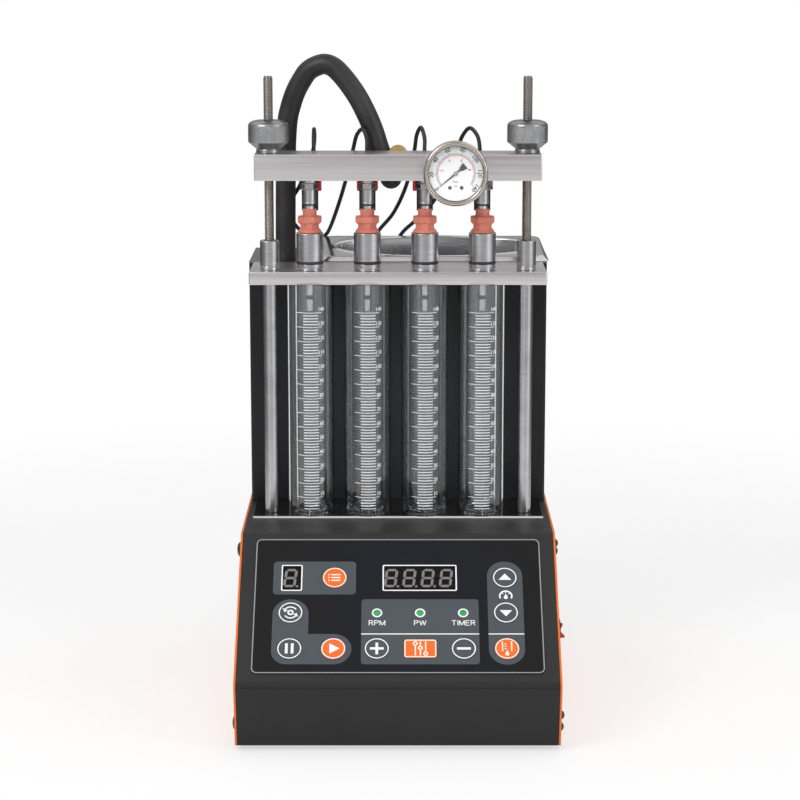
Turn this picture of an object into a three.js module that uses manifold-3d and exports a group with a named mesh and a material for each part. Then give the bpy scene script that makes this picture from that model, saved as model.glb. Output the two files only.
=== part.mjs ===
// Bench fuel injector cleaner and tester: a sloped control console, a tube rack between two
// plates, a clamped injector rail over it, and a cabinet with an ultrasonic bath behind.
// Millimetres, +X to the operator's right, +Y to the back, +Z up. The origin is on the bench
// under the middle of the machine.
import * as THREE from 'three';
import { mergeVertices } from 'three/addons/utils/BufferGeometryUtils.js';
import Module from 'manifold-3d';

const wasm = await Module();
wasm.setup();

// Machine body
const bodyWidth = 319.6;
const noseReach = 205;
const backReach = 203;
const footHeight = 5;
const deckHeight = 454.2;
const sheetThickness = 1.5;
const bendRadius = 3;
const gap = 0.3;
const cutOverrun = 2;

// Facets round a turned piece: mating pieces share a count, so that they fit all round
const fineSides = 28;
const tubeSides = 20;
const pinSides = 12;
const smallSides = 8;
const basinSides = 24;

// Console profile, seen from the side
const ledgeHeight = 191.3;
const noseHeight = 72.3;
const slopeRun = 141;
const noseLean = 14.3;
const frontLip = 14;
const sidePlateThickness = 2;
const drainHoleRadius = 5;
const wayWidth = 198;
const wayInset = 20;

// Cabinet behind the tube rack
const cabinetDepth = 121.7;
const cabinetFlange = 12.8;
const ventLength = 44;
const ventWidth = 4;
const ventPitch = 10;
const ventRows = 6;
const ventColumns = 3;
const ventColumnPitch = 62;

// Ultrasonic bath
const bathLeft = -80;
const bathRight = 162.4;
const bathFrontInset = 1.2;
const bathDepth = 107.5;
const bathFrontRise = 6.3;
const bathBackRise = 13.3;
const bathBevel = 6;
const bathCornerRadius = 5;
const basinCentreX = 40;
const basinLength = 216;
const basinBreadth = 93;
const basinDrop = 62;
const basinWall = 1.4;
const transducerRadius = 24;
const transducerHeight = 30;
const transducerSpacing = 82;

// Tube rack: the plates reach past the columns, which stand clear of the outer guards
const tubeCount = 4;
const rowCentreX = -2;
const guardRadius = 25;
const guardWall = 2.5;
const guardClearance = 10;
const tubePitch = guardRadius * 2 + guardClearance;
const columnRadius = 7.25;
const columnClearance = 9.75;
const outerGuardReach = tubePitch * (tubeCount - 1) / 2 + Math.abs(rowCentreX) + guardRadius;
const columnSpacing = (outerGuardReach + columnClearance + columnRadius) * 2;
const plateOverhang = 21;
const plateWidth = columnSpacing + plateOverhang * 2;
const plateDepth = 83;
const topPlateThickness = 12.4;
const basePlateInset = 1.3;
const basePlateWidth = plateWidth - basePlateInset * 2;
const basePlateThickness = 2.7;
const lineInset = 20;
const boreRadius = 14.5;
const tubeWall = 1.8;
const tubeFloor = 5;
const tubeFootRadius = 19;
const tubeFootHeight = 4;

// Column studs, clamp sleeves and nuts
const rodRadius = 5;
const rodTop = 655.2;
const sleeveRadius = 9.6;
const sleeveHeight = 30.9;
const nutRadius = 21.1;
const nutCollarRadius = 12.9;
const nutCollarHeight = 3.6;
const nutConeHeight = 7;
const nutGripHeight = 18.2;
const nutDomeHeight = 4.6;
const nutThroatRadius = 6.2;

// Injector rail
const railOverhang = 14;
const railWidth = columnSpacing + railOverhang * 2;
const railDepth = 50;
const railHeight = 29.3;
const railBottom = 549.4;
const railChamfer = 0.8;
const portRadius = 4.8;
const portDepth = 12;

// One injector place, from the upper tube plate to the rail
const receiverRadius = 14.2;
const receiverBore = 11.6;
const receiverCollarHeight = 6.5;
const receiverGroove = 3;
const receiverGrooveDepth = 1.4;
const receiverHeight = 39.2;
const spigotRadius = 7.7;
const nozzleRadius = 4;
const nozzleReach = 30.6;
const passageRadius = 2.2;
const injectorNeckRadius = 5.3;
const injectorNeckTop = 533;
const couplerRadius = 6.9;
const couplerBottom = 523.4;
const hexFlats = 13;
const hexHeight = 5;
const washerHeight = 4.9;
const plugWidth = 17;
const plugDepth = 12.5;
const plugHeight = 33;
const plugHeadWidth = 22;
const plugHeadHeight = 7;

// Pressure gauge
const gaugeX = 58.6;
const gaugeZ = 560.3;
const gaugeBezelRadius = 33;
const gaugeDialRadius = 27.6;
const gaugeDepth = 32;
const gaugeStemLength = 8;
const gaugeStemRadius = 6;
const gaugeWell = 7;
const lensThickness = 1.5;
const needleReach = 22;
const needleTail = 12;
const needleThickness = 0.7;
const needleRestAngle = 219.5;

// Fluid hose and its union on the rail
const hoseRadius = 9.5;
const hoseSides = 10;
const hoseSteps = 26;
const hoseCuffRadius = 10.6;
const unionRadius = 10;
const unionThickness = 7.6;
const unionTopZ = 572;
const unionLowZ = 556;
const unionLowX = -7.5;

// Injector wiring
const wireRadius = 1.55;
const wireSides = 8;
const wireSteps = 20;
const trunkRadius = 2.6;
const trunkZ = 438;

// Control panel, measured down the slope from its upper fold
const overlayWidth = 291;
const overlayTop = 8.5;
const overlayLength = 162.5;
const overlayThickness = 1;
const overlayRadius = 6;
const keyRadius = 12.3;
const keyRise = 0.8;
const keyTravel = 0.8;
const keyClearance = 0.35;
const keyStemRadius = 3;
const keyCornerRadius = 2.7;
const keyColumnLeft = -108;
const keyColumnMenu = -64.3;
const keyColumnPlus = -21;
const keyColumnMiddle = 22.3;
const keyColumnMinus = 65.6;
const keyColumnRight = 108.6;
const keyRowTop = 57;
const keyRowMiddle = 99.6;
const keyRowLow = 142.4;
const squareKeyWidth = 32.6;
const squareKeyHeight = 21.4;
const displayRow = 56.9;
const displayHeight = 31.4;
const smallDisplayX = -107.8;
const smallDisplayWidth = 22;
const largeDisplayX = 21.9;
const largeDisplayWidth = 76;
const lampRadius = 2.5;
const boardDepth = 9;
const boardThickness = 1.6;

// Power switch on the right-hand side plate
const switchInset = 75;
const switchZ = 106;
const switchWidth = 15;
const switchHeight = 22;
const switchFrameRise = 1.6;
const switchFrameWall = 2;
const switchBodyDepth = 16;
const rockerTilt = 10;
const rockerRise = 4.2;

// Fluid tank and boxed power supply on the floor pan
const tankSupplyClearance = 36.8;
const tankCoverClearance = 51.5;
const tankBreadth = 268;
const tankHeight = 62;
const tankRadius = 8;
const tankNeckRadius = 16;
const tankNeckHeight = 24;
const supplyBreadth = 96;
const supplyHeight = 34;
const socketDepth = 24;
const socketWall = 2.2;
const socketPinWidth = 2;
const flangeThickness = 2;

// Derived planes
const halfWidth = bodyWidth / 2;
const cabinetFront = backReach - cabinetDepth;
const plateBack = cabinetFront - gap;
const plateFront = plateBack - plateDepth;
const lineY = plateFront + lineInset;
const foldY = slopeRun - noseReach;
const slopeRise = ledgeHeight - noseHeight;
const slopeAngle = Math.atan2(slopeRise, slopeRun);
const topPlateBottom = deckHeight - topPlateThickness;
const rackFloor = ledgeHeight + gap + basePlateThickness;
const railTop = railBottom + railHeight;
const railFront = lineY - railDepth / 2;
const railBack = lineY + railDepth / 2;
const coverFace = backReach - sheetThickness;
const switchY = switchInset - noseReach;

const placeX = (index) => rowCentreX + (index - (tubeCount - 1) / 2) * tubePitch;
const sides = { left: -1, right: 1 };

// Solids: geometry in, welded geometry or a manifold solid out.
function weld(geometry) {
  const bare = geometry.clone();
  bare.deleteAttribute('normal');
  bare.deleteAttribute('uv');
  const merged = mergeVertices(bare, 1e-4);
  const source = merged.index.array;
  const kept = [];
  for (let i = 0; i < source.length; i += 3) {
    const [a, b, c] = [source[i], source[i + 1], source[i + 2]];
    if (a !== b && b !== c && c !== a) kept.push(a, b, c);
  }
  merged.setIndex(kept);
  return merged;
}

function solid(geometry) {
  const merged = weld(geometry);
  return new wasm.Manifold(new wasm.Mesh({
    numProp: 3,
    vertProperties: Float32Array.from(merged.attributes.position.array),
    triVerts: Uint32Array.from(merged.index.array),
  }));
}

function surface(manifold) {
  const mesh = manifold.getMesh();
  const geometry = new THREE.BufferGeometry();
  geometry.setAttribute('position', new THREE.BufferAttribute(mesh.vertProperties, 3));
  geometry.setIndex(new THREE.BufferAttribute(mesh.triVerts, 1));
  return geometry;
}

function block(x0, x1, y0, y1, z0, z1) {
  const geometry = new THREE.BoxGeometry(x1 - x0, y1 - y0, z1 - z0);
  geometry.translate((x0 + x1) / 2, (y0 + y1) / 2, (z0 + z1) / 2);
  return solid(geometry);
}

// A closed profile of [radius, height] pairs, turned about the vertical axis at (x, y).
function turned(profile, segments, x = 0, y = 0) {
  const points = profile.map(([radius, height]) => new THREE.Vector2(radius, height));
  const geometry = new THREE.LatheGeometry(points, segments);
  geometry.rotateX(Math.PI / 2);
  geometry.translate(x, y, 0);
  return solid(geometry);
}

function rod(radius, x, y, z0, z1, segments = pinSides) {
  return turned([[0, z0], [radius, z0], [radius, z1], [0, z1]], segments, x, y);
}

// A pin whose axis runs along +Y, from y0 to y1.
function crossPin(radius, x, z, y0, y1, segments = pinSides) {
  const geometry = new THREE.CylinderGeometry(radius, radius, y1 - y0, segments);
  geometry.translate(x, (y0 + y1) / 2, z);
  return solid(geometry);
}

// A flat outline in X and Y, raised from z0 to z1.
function raised(shape, z0, z1, curveSegments = 6) {
  const settings = { depth: z1 - z0, bevelEnabled: false, curveSegments };
  const geometry = new THREE.ExtrudeGeometry(shape, settings);
  geometry.translate(0, 0, z0);
  return solid(geometry);
}

// An outline in Y and Z, carried across X from x0 to x1.
function acrossWidth(shape, x0, x1, curveSegments = 3) {
  const settings = { depth: x1 - x0, bevelEnabled: false, curveSegments };
  const geometry = new THREE.ExtrudeGeometry(shape, settings);
  geometry.translate(0, 0, x0);
  geometry.applyMatrix4(new THREE.Matrix4().set(0, 0, 1, 0, 1, 0, 0, 0, 0, 1, 0, 0, 0, 0, 0, 1));
  return solid(geometry);
}

function roundedRectangle(x0, x1, y0, y1, radius) {
  const shape = new THREE.Shape();
  shape.moveTo(x0 + radius, y0);
  shape.lineTo(x1 - radius, y0);
  shape.absarc(x1 - radius, y0 + radius, radius, -Math.PI / 2, 0);
  shape.lineTo(x1, y1 - radius);
  shape.absarc(x1 - radius, y1 - radius, radius, 0, Math.PI / 2);
  shape.lineTo(x0 + radius, y1);
  shape.absarc(x0 + radius, y1 - radius, radius, Math.PI / 2, Math.PI);
  shape.lineTo(x0, y0 + radius);
  shape.absarc(x0 + radius, y0 + radius, radius, Math.PI, Math.PI * 1.5);
  return shape;
}

// Draws a run of points into a path, with each inner corner rounded by its radius.
function roundedRun(path, points, radius, start) {
  points.forEach((point, i) => {
    const before = points[i - 1];
    const after = points[i + 1];
    if (!before || !after) {
      if (start && i === 0) path.moveTo(point.x, point.y);
      else path.lineTo(point.x, point.y);
      return;
    }
    const into = before.clone().sub(point).setLength(radius).add(point);
    const out = after.clone().sub(point).setLength(radius).add(point);
    path.lineTo(into.x, into.y);
    path.quadraticCurveTo(point.x, point.y, out.x, out.y);
  });
}

// The points of a run moved sideways by a distance, to the left of its direction.
function offsetRun(points, distance) {
  const normals = points.slice(1).map((point, i) => {
    const along = point.clone().sub(points[i]).normalize();
    return new THREE.Vector2(-along.y, along.x);
  });
  return points.map((point, i) => {
    const first = normals[Math.max(i - 1, 0)];
    const second = normals[Math.min(i, normals.length - 1)];
    const middle = first.clone().add(second).normalize();
    return point.clone().addScaledVector(middle, distance / middle.dot(first));
  });
}

// Folded sheet: a run of corner points given a thickness to its left, with rounded bends.
function foldedSheet(points, thickness, radius) {
  const corners = points.map(([x, y]) => new THREE.Vector2(x, y));
  const inner = offsetRun(corners, thickness).reverse();
  const shape = new THREE.Shape();
  roundedRun(shape, corners, radius, true);
  roundedRun(shape, inner, radius - thickness / 2, false);
  return shape;
}

// A round tube along a smooth curve through the given points.
function tubeAlong(points, radius, sideCount, steps) {
  const section = new THREE.Shape();
  for (let i = 0; i < sideCount; i += 1) {
    const angle = (i / sideCount) * Math.PI * 2;
    const [x, y] = [radius * Math.cos(angle), radius * Math.sin(angle)];
    if (i === 0) section.moveTo(x, y);
    else section.lineTo(x, y);
  }
  const curve = new THREE.CatmullRomCurve3(points.map((p) => new THREE.Vector3(...p)));
  const settings = { steps, bevelEnabled: false, extrudePath: curve };
  return solid(new THREE.ExtrudeGeometry(section, settings));
}

// Materials by what each piece is made of
const finish = (color, roughness, metalness) => ({ color, roughness, metalness });
const paintedBlack = finish(0x2c2d2e, 0.6, 0.2);
const paintedGrey = finish(0x47484a, 0.6, 0.2);
const paintedOrange = finish(0xe8732c, 0.5, 0.1);
const deckSteel = finish(0x8c8c8c, 0.4, 0.9);
const brightSteel = finish(0xbcbcbc, 0.28, 1);
const brushedAlloy = finish(0xc3c0c1, 0.4, 1);
const clearTube = finish(0xdfe6ea, 0.08, 0);
const coral = finish(0xd98070, 0.55, 0);
const blackRubber = finish(0x2b2b2c, 0.6, 0);
const blackPlastic = finish(0x1d1e20, 0.5, 0);
const brass = finish(0xc9a253, 0.3, 1);
const boardGreen = finish(0x1f5a3c, 0.6, 0);
const zincPlate = finish(0x9ea1a3, 0.45, 0.9);
const dialWhite = finish(0xf1f0ec, 0.45, 0.1);
const panelInk = finish(0x24272c, 0.45, 0);
const keyOrange = finish(0xee6d2b, 0.4, 0);
const keySlate = finish(0x4d545c, 0.45, 0);
const switchRed = finish(0xc02a22, 0.35, 0);
const tankWhite = finish(0xdcdcd6, 0.5, 0);

const machine = new THREE.Group();
const panel = new THREE.Group();
panel.position.set(0, foldY, ledgeHeight);
panel.rotation.x = slopeAngle;
machine.add(panel);

function add(name, shape, look, parent = machine) {
  const mesh = new THREE.Mesh(surface(shape), new THREE.MeshStandardMaterial(look));
  mesh.name = name;
  parent.add(mesh);
}

// Console: one folded sheet for ledge, slope and front, with openings for the keys and
// displays, between two side plates and over a floor pan.
const keys = [
  { name: 'menu', x: keyColumnMenu, row: keyRowTop, look: keyOrange },
  { name: 'refresh', x: keyColumnLeft, row: keyRowMiddle, look: keySlate },
  { name: 'pause', x: keyColumnLeft, row: keyRowLow, look: keySlate },
  { name: 'play', x: keyColumnMenu, row: keyRowLow, look: keyOrange },
  { name: 'plus', x: keyColumnPlus, row: keyRowLow, look: keySlate },
  { name: 'settings', x: keyColumnMiddle, row: keyRowLow, look: keyOrange, square: true },
  { name: 'minus', x: keyColumnMinus, row: keyRowLow, look: keySlate },
  { name: 'up', x: keyColumnRight, row: keyRowTop, look: keySlate },
  { name: 'down', x: keyColumnRight, row: keyRowMiddle, look: keySlate },
  { name: 'drain', x: keyColumnRight, row: keyRowLow, look: keyOrange },
];
const displays = [
  { x: smallDisplayX, width: smallDisplayWidth },
  { x: largeDisplayX, width: largeDisplayWidth },
];
const lampColumns = [keyColumnPlus, keyColumnMiddle, keyColumnMinus];

function keySolid(key, margin, z0, z1) {
  if (!key.square) return rod(keyRadius + margin, key.x, -key.row, z0, z1, pinSides);
  const halfLong = squareKeyWidth / 2 + margin;
  const halfTall = squareKeyHeight / 2 + margin;
  const outline = roundedRectangle(
    key.x - halfLong, key.x + halfLong, -key.row - halfTall, -key.row + halfTall, keyCornerRadius,
  );
  return raised(outline, z0, z1, 2);
}

function displayBlock(display, margin, z0, z1) {
  const half = display.width / 2 + margin;
  const halfTall = displayHeight / 2 + margin;
  const [low, high] = [-displayRow - halfTall, -displayRow + halfTall];
  return block(display.x - half, display.x + half, low, high, z0, z1);
}

// What passes through the slope: key caps, display faces and lamps, each with its clearance.
function panelCuts(margin, z0, z1) {
  const cuts = keys.map((key) => keySolid(key, margin, z0, z1));
  displays.forEach((display) => cuts.push(displayBlock(display, margin, z0, z1)));
  lampColumns.forEach((x) => cuts.push(rod(lampRadius + margin, x, -keyRowMiddle, z0, z1, smallSides)));
  return cuts.reduce((all, cut) => all.add(cut));
}

// Holes through a plate from z0 to z1: one at each tube, and one at each column.
function drillRow(plate, tubeHole, columnHole, z0, z1) {
  let drilled = plate;
  for (let i = 0; i < tubeCount; i += 1) {
    drilled = drilled.subtract(rod(tubeHole, placeX(i), lineY, z0 - cutOverrun, z1 + cutOverrun));
  }
  for (const side of Object.values(sides)) {
    const x = side * columnSpacing / 2;
    drilled = drilled.subtract(rod(columnHole, x, lineY, z0 - cutOverrun, z1 + cutOverrun));
  }
  return drilled;
}

function onSlope(manifold) {
  return manifold.rotate([THREE.MathUtils.radToDeg(slopeAngle), 0, 0]).translate([0, foldY, ledgeHeight]);
}

function consoleProfile(backY, lip) {
  const run = [
    [backY, ledgeHeight], [foldY, ledgeHeight], [-noseReach, noseHeight],
    [noseLean - noseReach, footHeight],
  ];
  if (lip) run.push([noseLean - noseReach + frontLip, footHeight]);
  return run;
}

function consoleShell() {
  const run = consoleProfile(coverFace - gap, true);
  let shell = acrossWidth(foldedSheet(run, sheetThickness, bendRadius), -halfWidth, halfWidth);
  shell = shell.subtract(onSlope(panelCuts(keyClearance * 2, -cutOverrun - sheetThickness, cutOverrun)));
  shell = shell.subtract(block(
    -wayWidth / 2, wayWidth / 2, cabinetFront + wayInset, coverFace - wayInset,
    ledgeHeight - sheetThickness - cutOverrun, ledgeHeight + cutOverrun,
  ));
  return drillRow(shell, drainHoleRadius, rodRadius, ledgeHeight - sheetThickness, ledgeHeight);
}
add('console_shell', consoleShell(), paintedGrey);

// Side plates carry the console and the floor pan with a few domed screws.
const screwDome = 3.6;
const largeHeadRadius = 7;
const smallHeadRadius = 3.6;
const screwInset = 16;
const screwSpacing = 10;
const toeY = noseLean - noseReach;
const screwPlaces = {
  left: [
    { y: foldY - screwInset / 3, z: ledgeHeight - screwInset, radius: largeHeadRadius },
    { y: toeY + screwInset * 1.3, z: footHeight + screwInset * 1.1, radius: largeHeadRadius },
  ],
  right: [
    { y: foldY + screwInset / 3, z: ledgeHeight - screwInset + smallHeadRadius, radius: smallHeadRadius },
    { y: foldY + screwInset / 2, z: ledgeHeight - screwInset - screwSpacing / 2, radius: smallHeadRadius },
    { y: toeY + screwInset * 0.4, z: footHeight + screwInset * 1.9, radius: smallHeadRadius },
    { y: toeY + screwInset * 0.85, z: footHeight + screwInset, radius: smallHeadRadius },
  ],
};

function sideScrew(place, side) {
  const base = sidePlateThickness * 0.5;
  const profile = [
    [0, -base], [place.radius, -base], [place.radius, screwDome * 0.35],
    [place.radius * 0.6, screwDome * 0.9], [0, screwDome],
  ];
  const outer = halfWidth + gap + sidePlateThickness;
  return turned(profile, pinSides).rotate([0, side * 90, 0]).translate([side * outer, place.y, place.z]);
}

function sidePlate(name) {
  const side = sides[name];
  const run = consoleProfile(backReach, false);
  run.push([backReach, footHeight]);
  const shape = new THREE.Shape();
  const corners = run.map(([x, y]) => new THREE.Vector2(x, y));
  roundedRun(shape, corners, bendRadius, true);
  const inner = halfWidth + gap;
  const faces = [side * inner, side * (inner + sidePlateThickness)].sort((a, b) => a - b);
  let plate = acrossWidth(shape, ...faces);
  screwPlaces[name].forEach((place) => {
    plate = plate.add(sideScrew(place, side));
  });
  if (side > 0) {
    const halfLong = switchHeight / 2 - switchFrameWall;
    const halfWide = switchWidth / 2 - switchFrameWall;
    plate = plate.subtract(block(
      inner - cutOverrun, inner + sidePlateThickness + cutOverrun,
      switchY - halfWide - gap, switchY + halfWide + gap,
      switchZ - halfLong - gap, switchZ + halfLong + gap,
    ));
  }
  return plate;
}
add('side_plate_left', sidePlate('left'), paintedOrange);
add('side_plate_right', sidePlate('right'), paintedOrange);

// Floor pan with turned-up edges, standing on four pressed-in rubber feet.
const panLift = footHeight + sheetThickness + gap;
const panEdge = 16;
const footRadius = 10;
const footInsetX = 26;
const footInsetY = 40;

function floorPan() {
  const x = halfWidth - gap;
  const front = noseLean - noseReach + bendRadius + sheetThickness + gap;
  const back = coverFace - gap;
  const run = [[-x, panLift + panEdge], [-x, panLift], [x, panLift], [x, panLift + panEdge]];
  const shape = foldedSheet(run, sheetThickness, bendRadius);
  const settings = { depth: back - front, bevelEnabled: false, curveSegments: 3 };
  const geometry = new THREE.ExtrudeGeometry(shape, settings);
  geometry.rotateX(Math.PI / 2);
  geometry.translate(0, back, 0);
  let pan = solid(geometry);
  const stemTop = panLift + sheetThickness / 2;
  const profile = [
    [0, 0], [footRadius * 0.9, 0], [footRadius, footHeight * 0.3], [footRadius, stemTop], [0, stemTop],
  ];
  for (const footX of [-x + footInsetX, x - footInsetX]) {
    for (const footY of [front + footInsetY, back - footInsetY]) {
      pan = pan.add(turned(profile, pinSides, footX, footY));
    }
  }
  return pan;
}
add('floor_pan', floorPan(), paintedBlack);

// Control panel: the printed overlay, the key caps in its holes, and the board behind.
const overlayBase = gap;
const overlayFace = overlayBase + overlayThickness;

function panelOverlay() {
  const halfLong = overlayWidth / 2;
  const outline = roundedRectangle(
    -halfLong, halfLong, -overlayTop - overlayLength, -overlayTop, overlayRadius,
  );
  const sheet = raised(outline, overlayBase, overlayFace, 4);
  return sheet.subtract(panelCuts(keyClearance, -cutOverrun, cutOverrun));
}
add('panel_overlay', panelOverlay(), panelInk, panel);

const boardTop = -sheetThickness - boardDepth;

function keyCap(key) {
  const cap = keySolid(key, 0, -sheetThickness, overlayFace + keyRise);
  const stemFoot = boardTop + keyTravel + gap;
  const stem = rod(keyStemRadius, key.x, -key.row, stemFoot, -sheetThickness / 2, smallSides);
  return cap.add(stem);
}
keys.forEach((key) => add(`key_${key.name}`, keyCap(key), key.look, panel));

function controlBoard() {
  const edge = overlayRadius * 1.5;
  const halfLong = overlayWidth / 2 - edge;
  const low = -overlayTop - overlayLength + edge;
  const high = -overlayTop - edge;
  let board = block(-halfLong, halfLong, low, high, boardTop - boardThickness, boardTop);
  displays.forEach((display) => {
    board = board.add(displayBlock(display, -gap, boardTop - boardThickness / 2, overlayBase));
  });
  lampColumns.forEach((x) => {
    const lamp = rod(lampRadius, x, -keyRowMiddle, boardTop - boardThickness / 2, overlayFace, smallSides);
    board = board.add(lamp);
  });
  for (const x of [-halfLong + edge, halfLong - edge]) {
    for (const y of [low + edge, high - edge]) {
      const spacerLow = boardTop - boardThickness / 2;
      board = board.add(rod(keyStemRadius, x, y, spacerLow, -sheetThickness - gap, smallSides));
    }
  }
  return board;
}
add('control_board', controlBoard(), boardGreen, panel);

// Power switch: a snap-in body whose frame lies on the side plate, and its red rocker.
const plateFace = halfWidth + gap + sidePlateThickness;
const rockerPivotX = plateFace + switchFrameRise * 0.5;

function switchBody() {
  const outer = plateFace + gap;
  const halfLong = switchHeight / 2;
  const halfWide = switchWidth / 2;
  const wall = switchFrameWall;
  const frame = block(outer, outer + switchFrameRise, switchY - halfWide, switchY + halfWide,
    switchZ - halfLong, switchZ + halfLong);
  const core = block(outer - switchBodyDepth, outer + switchFrameRise / 2,
    switchY - halfWide + wall, switchY + halfWide - wall,
    switchZ - halfLong + wall, switchZ + halfLong - wall);
  const well = block(outer - switchBodyDepth * 0.6, outer + switchFrameRise + cutOverrun,
    switchY - halfWide + wall * 1.6, switchY + halfWide - wall * 1.6,
    switchZ - halfLong + wall * 1.6, switchZ + halfLong - wall * 1.6);
  return frame.add(core).subtract(well);
}
add('switch_body', switchBody(), blackPlastic);

function switchRocker() {
  const halfLong = switchHeight / 2 - switchFrameWall * 1.6 - gap * 3;
  const halfWide = switchWidth / 2 - switchFrameWall * 1.6 - gap;
  const rise = rockerRise + switchFrameRise;
  const notch = rise * 0.32;
  const shape = new THREE.Shape();
  shape.moveTo(-rise, -halfLong * 0.8);
  shape.lineTo(rise * 0.9, -halfLong);
  shape.lineTo(notch, 0);
  shape.lineTo(rise * 0.9, halfLong);
  shape.lineTo(-rise, halfLong * 0.8);
  const settings = { depth: halfWide * 2, bevelEnabled: false };
  const geometry = new THREE.ExtrudeGeometry(shape, settings);
  geometry.translate(0, 0, -halfWide);
  geometry.rotateX(Math.PI / 2);
  geometry.rotateY(-THREE.MathUtils.degToRad(rockerTilt));
  geometry.translate(rockerPivotX, switchY, switchZ);
  return solid(geometry);
}
add('power_rocker', switchRocker(), switchRed);

// Cabinet: a folded sheet round the front and sides, closed by a vented rear cover.
function cabinetShell() {
  const run = [
    [-halfWidth + cabinetFlange, coverFace - gap], [-halfWidth, coverFace - gap],
    [-halfWidth, cabinetFront], [halfWidth, cabinetFront],
    [halfWidth, coverFace - gap], [halfWidth - cabinetFlange, coverFace - gap],
  ];
  const shape = foldedSheet(run, sheetThickness, bendRadius);
  return raised(shape, ledgeHeight + gap, deckHeight - sheetThickness - gap, 3);
}
add('cabinet_shell', cabinetShell(), paintedBlack);

const inletInset = 47.8;
const inletX = halfWidth - inletInset;
const inletZ = 48;
const inletWidth = 27.4;
const inletHeight = 20;
const inletFlange = 5;
const supplyLength = 86;

function rearCover() {
  const x = halfWidth - gap;
  const outline = roundedRectangle(-x, x, footHeight + gap, deckHeight - sheetThickness - gap, bendRadius);
  const geometry = new THREE.ExtrudeGeometry(outline, {
    depth: sheetThickness, bevelEnabled: false, curveSegments: 3,
  });
  geometry.rotateX(Math.PI / 2);
  geometry.translate(0, backReach, 0);
  let cover = solid(geometry);
  const slotTop = deckHeight - ventPitch * 4;
  for (let column = 0; column < ventColumns; column += 1) {
    const middle = (column - (ventColumns - 1) / 2) * ventColumnPitch;
    for (let row = 0; row < ventRows; row += 1) {
      const z = slotTop - row * ventPitch;
      cover = cover.subtract(block(
        middle - ventLength / 2, middle + ventLength / 2, coverFace - cutOverrun, backReach + cutOverrun,
        z - ventWidth / 2, z + ventWidth / 2,
      ));
    }
  }
  const half = inletWidth / 2 + gap;
  const halfTall = inletHeight / 2 + gap;
  return cover.subtract(block(inletX - half, inletX + half, coverFace - cutOverrun, backReach + cutOverrun,
    inletZ - halfTall, inletZ + halfTall));
}
add('rear_cover', rearCover(), paintedBlack);

// Power supply on the floor pan, with its mains inlet standing in the rear cover.
function powerSupply() {
  const floor = panLift + sheetThickness + gap;
  const right = inletX + supplyLength / 2;
  const left = inletX - supplyLength / 2;
  const back = coverFace - socketDepth;
  const halfLong = inletWidth / 2;
  const halfTall = inletHeight / 2;
  const body = block(left, right, back - supplyBreadth, back, floor, floor + supplyHeight);
  const bracket = block(inletX - halfLong, inletX + halfLong, back - socketDepth, back + gap,
    floor + supplyHeight / 2, inletZ + halfTall);
  const socket = block(inletX - halfLong, inletX + halfLong, back - gap, backReach + gap * 2,
    inletZ - halfTall, inletZ + halfTall);
  const flangeX = halfLong + inletFlange;
  const flangeZ = halfTall + inletFlange / 2;
  const flange = block(inletX - flangeX, inletX + flangeX, backReach + gap,
    backReach + gap + flangeThickness,
    inletZ - flangeZ, inletZ + flangeZ);
  const recess = block(inletX - halfLong + socketWall, inletX + halfLong - socketWall,
    backReach - socketDepth * 0.6, backReach + cutOverrun * 2,
    inletZ - halfTall + socketWall, inletZ + halfTall - socketWall);
  const pins = [-1, 0, 1].map((place) => {
    const x = inletX + place * halfLong * 0.5;
    const z = inletZ - (place === 0 ? -1 : 1) * halfTall * 0.2;
    return block(x - socketPinWidth / 2, x + socketPinWidth / 2, backReach - socketDepth * 0.7,
      backReach - flangeThickness, z - socketPinWidth, z + socketPinWidth);
  });
  const hollow = body.add(bracket).add(socket).add(flange).subtract(recess);
  return pins.reduce((all, pin) => all.add(pin), hollow);
}
add('power_supply', powerSupply(), blackPlastic);

// Fluid system inside the base: tank with filler neck, and a motor pump beside it.
function fluidTank() {
  const floor = panLift + sheetThickness + gap;
  const left = -halfWidth + panEdge;
  const right = inletX - supplyLength / 2 - tankSupplyClearance;
  const back = coverFace - tankCoverClearance;
  const front = back - tankBreadth;
  const outline = roundedRectangle(left, right, front, back, tankRadius);
  const tank = raised(outline, floor, floor + tankHeight, 3);
  const neck = rod(tankNeckRadius, left + tankNeckRadius * 2, back - tankNeckRadius * 2,
    floor + tankHeight / 2, floor + tankHeight + tankNeckHeight);
  return tank.add(neck);
}
add('fluid_tank', fluidTank(), tankWhite);

function fluidPump() {
  const floor = panLift + sheetThickness + gap;
  const bodyRadius = 21;
  const headRadius = 27;
  const motorLength = 66;
  const headLength = 28;
  const outletRadius = 6;
  const outletRise = 12;
  const x = inletX - bodyRadius;
  const coverClearance = 151.5;
  const back = coverFace - coverClearance;
  const z = floor + headRadius;
  const motor = crossPin(bodyRadius, x, z, back - motorLength - headLength, back - headLength + gap);
  const head = crossPin(headRadius, x, z, back - headLength, back);
  const foot = block(x - headRadius, x + headRadius, back - headLength, back, floor, z);
  const cradle = block(x - bodyRadius * 0.6, x + bodyRadius * 0.6, back - motorLength - headLength / 2,
    back - motorLength, floor, z);
  const port = rod(outletRadius, x, back - headLength / 2, z, z + headRadius + outletRise, smallSides);
  return motor.add(head).add(foot).add(cradle).add(port);
}
add('fluid_pump', fluidPump(), zincPlate);

// Deck over the cabinet, cut for the hose, the four wires and the bath's basin.
const basinCentreY = cabinetFront + bathFrontInset + bathDepth / 2;
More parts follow.
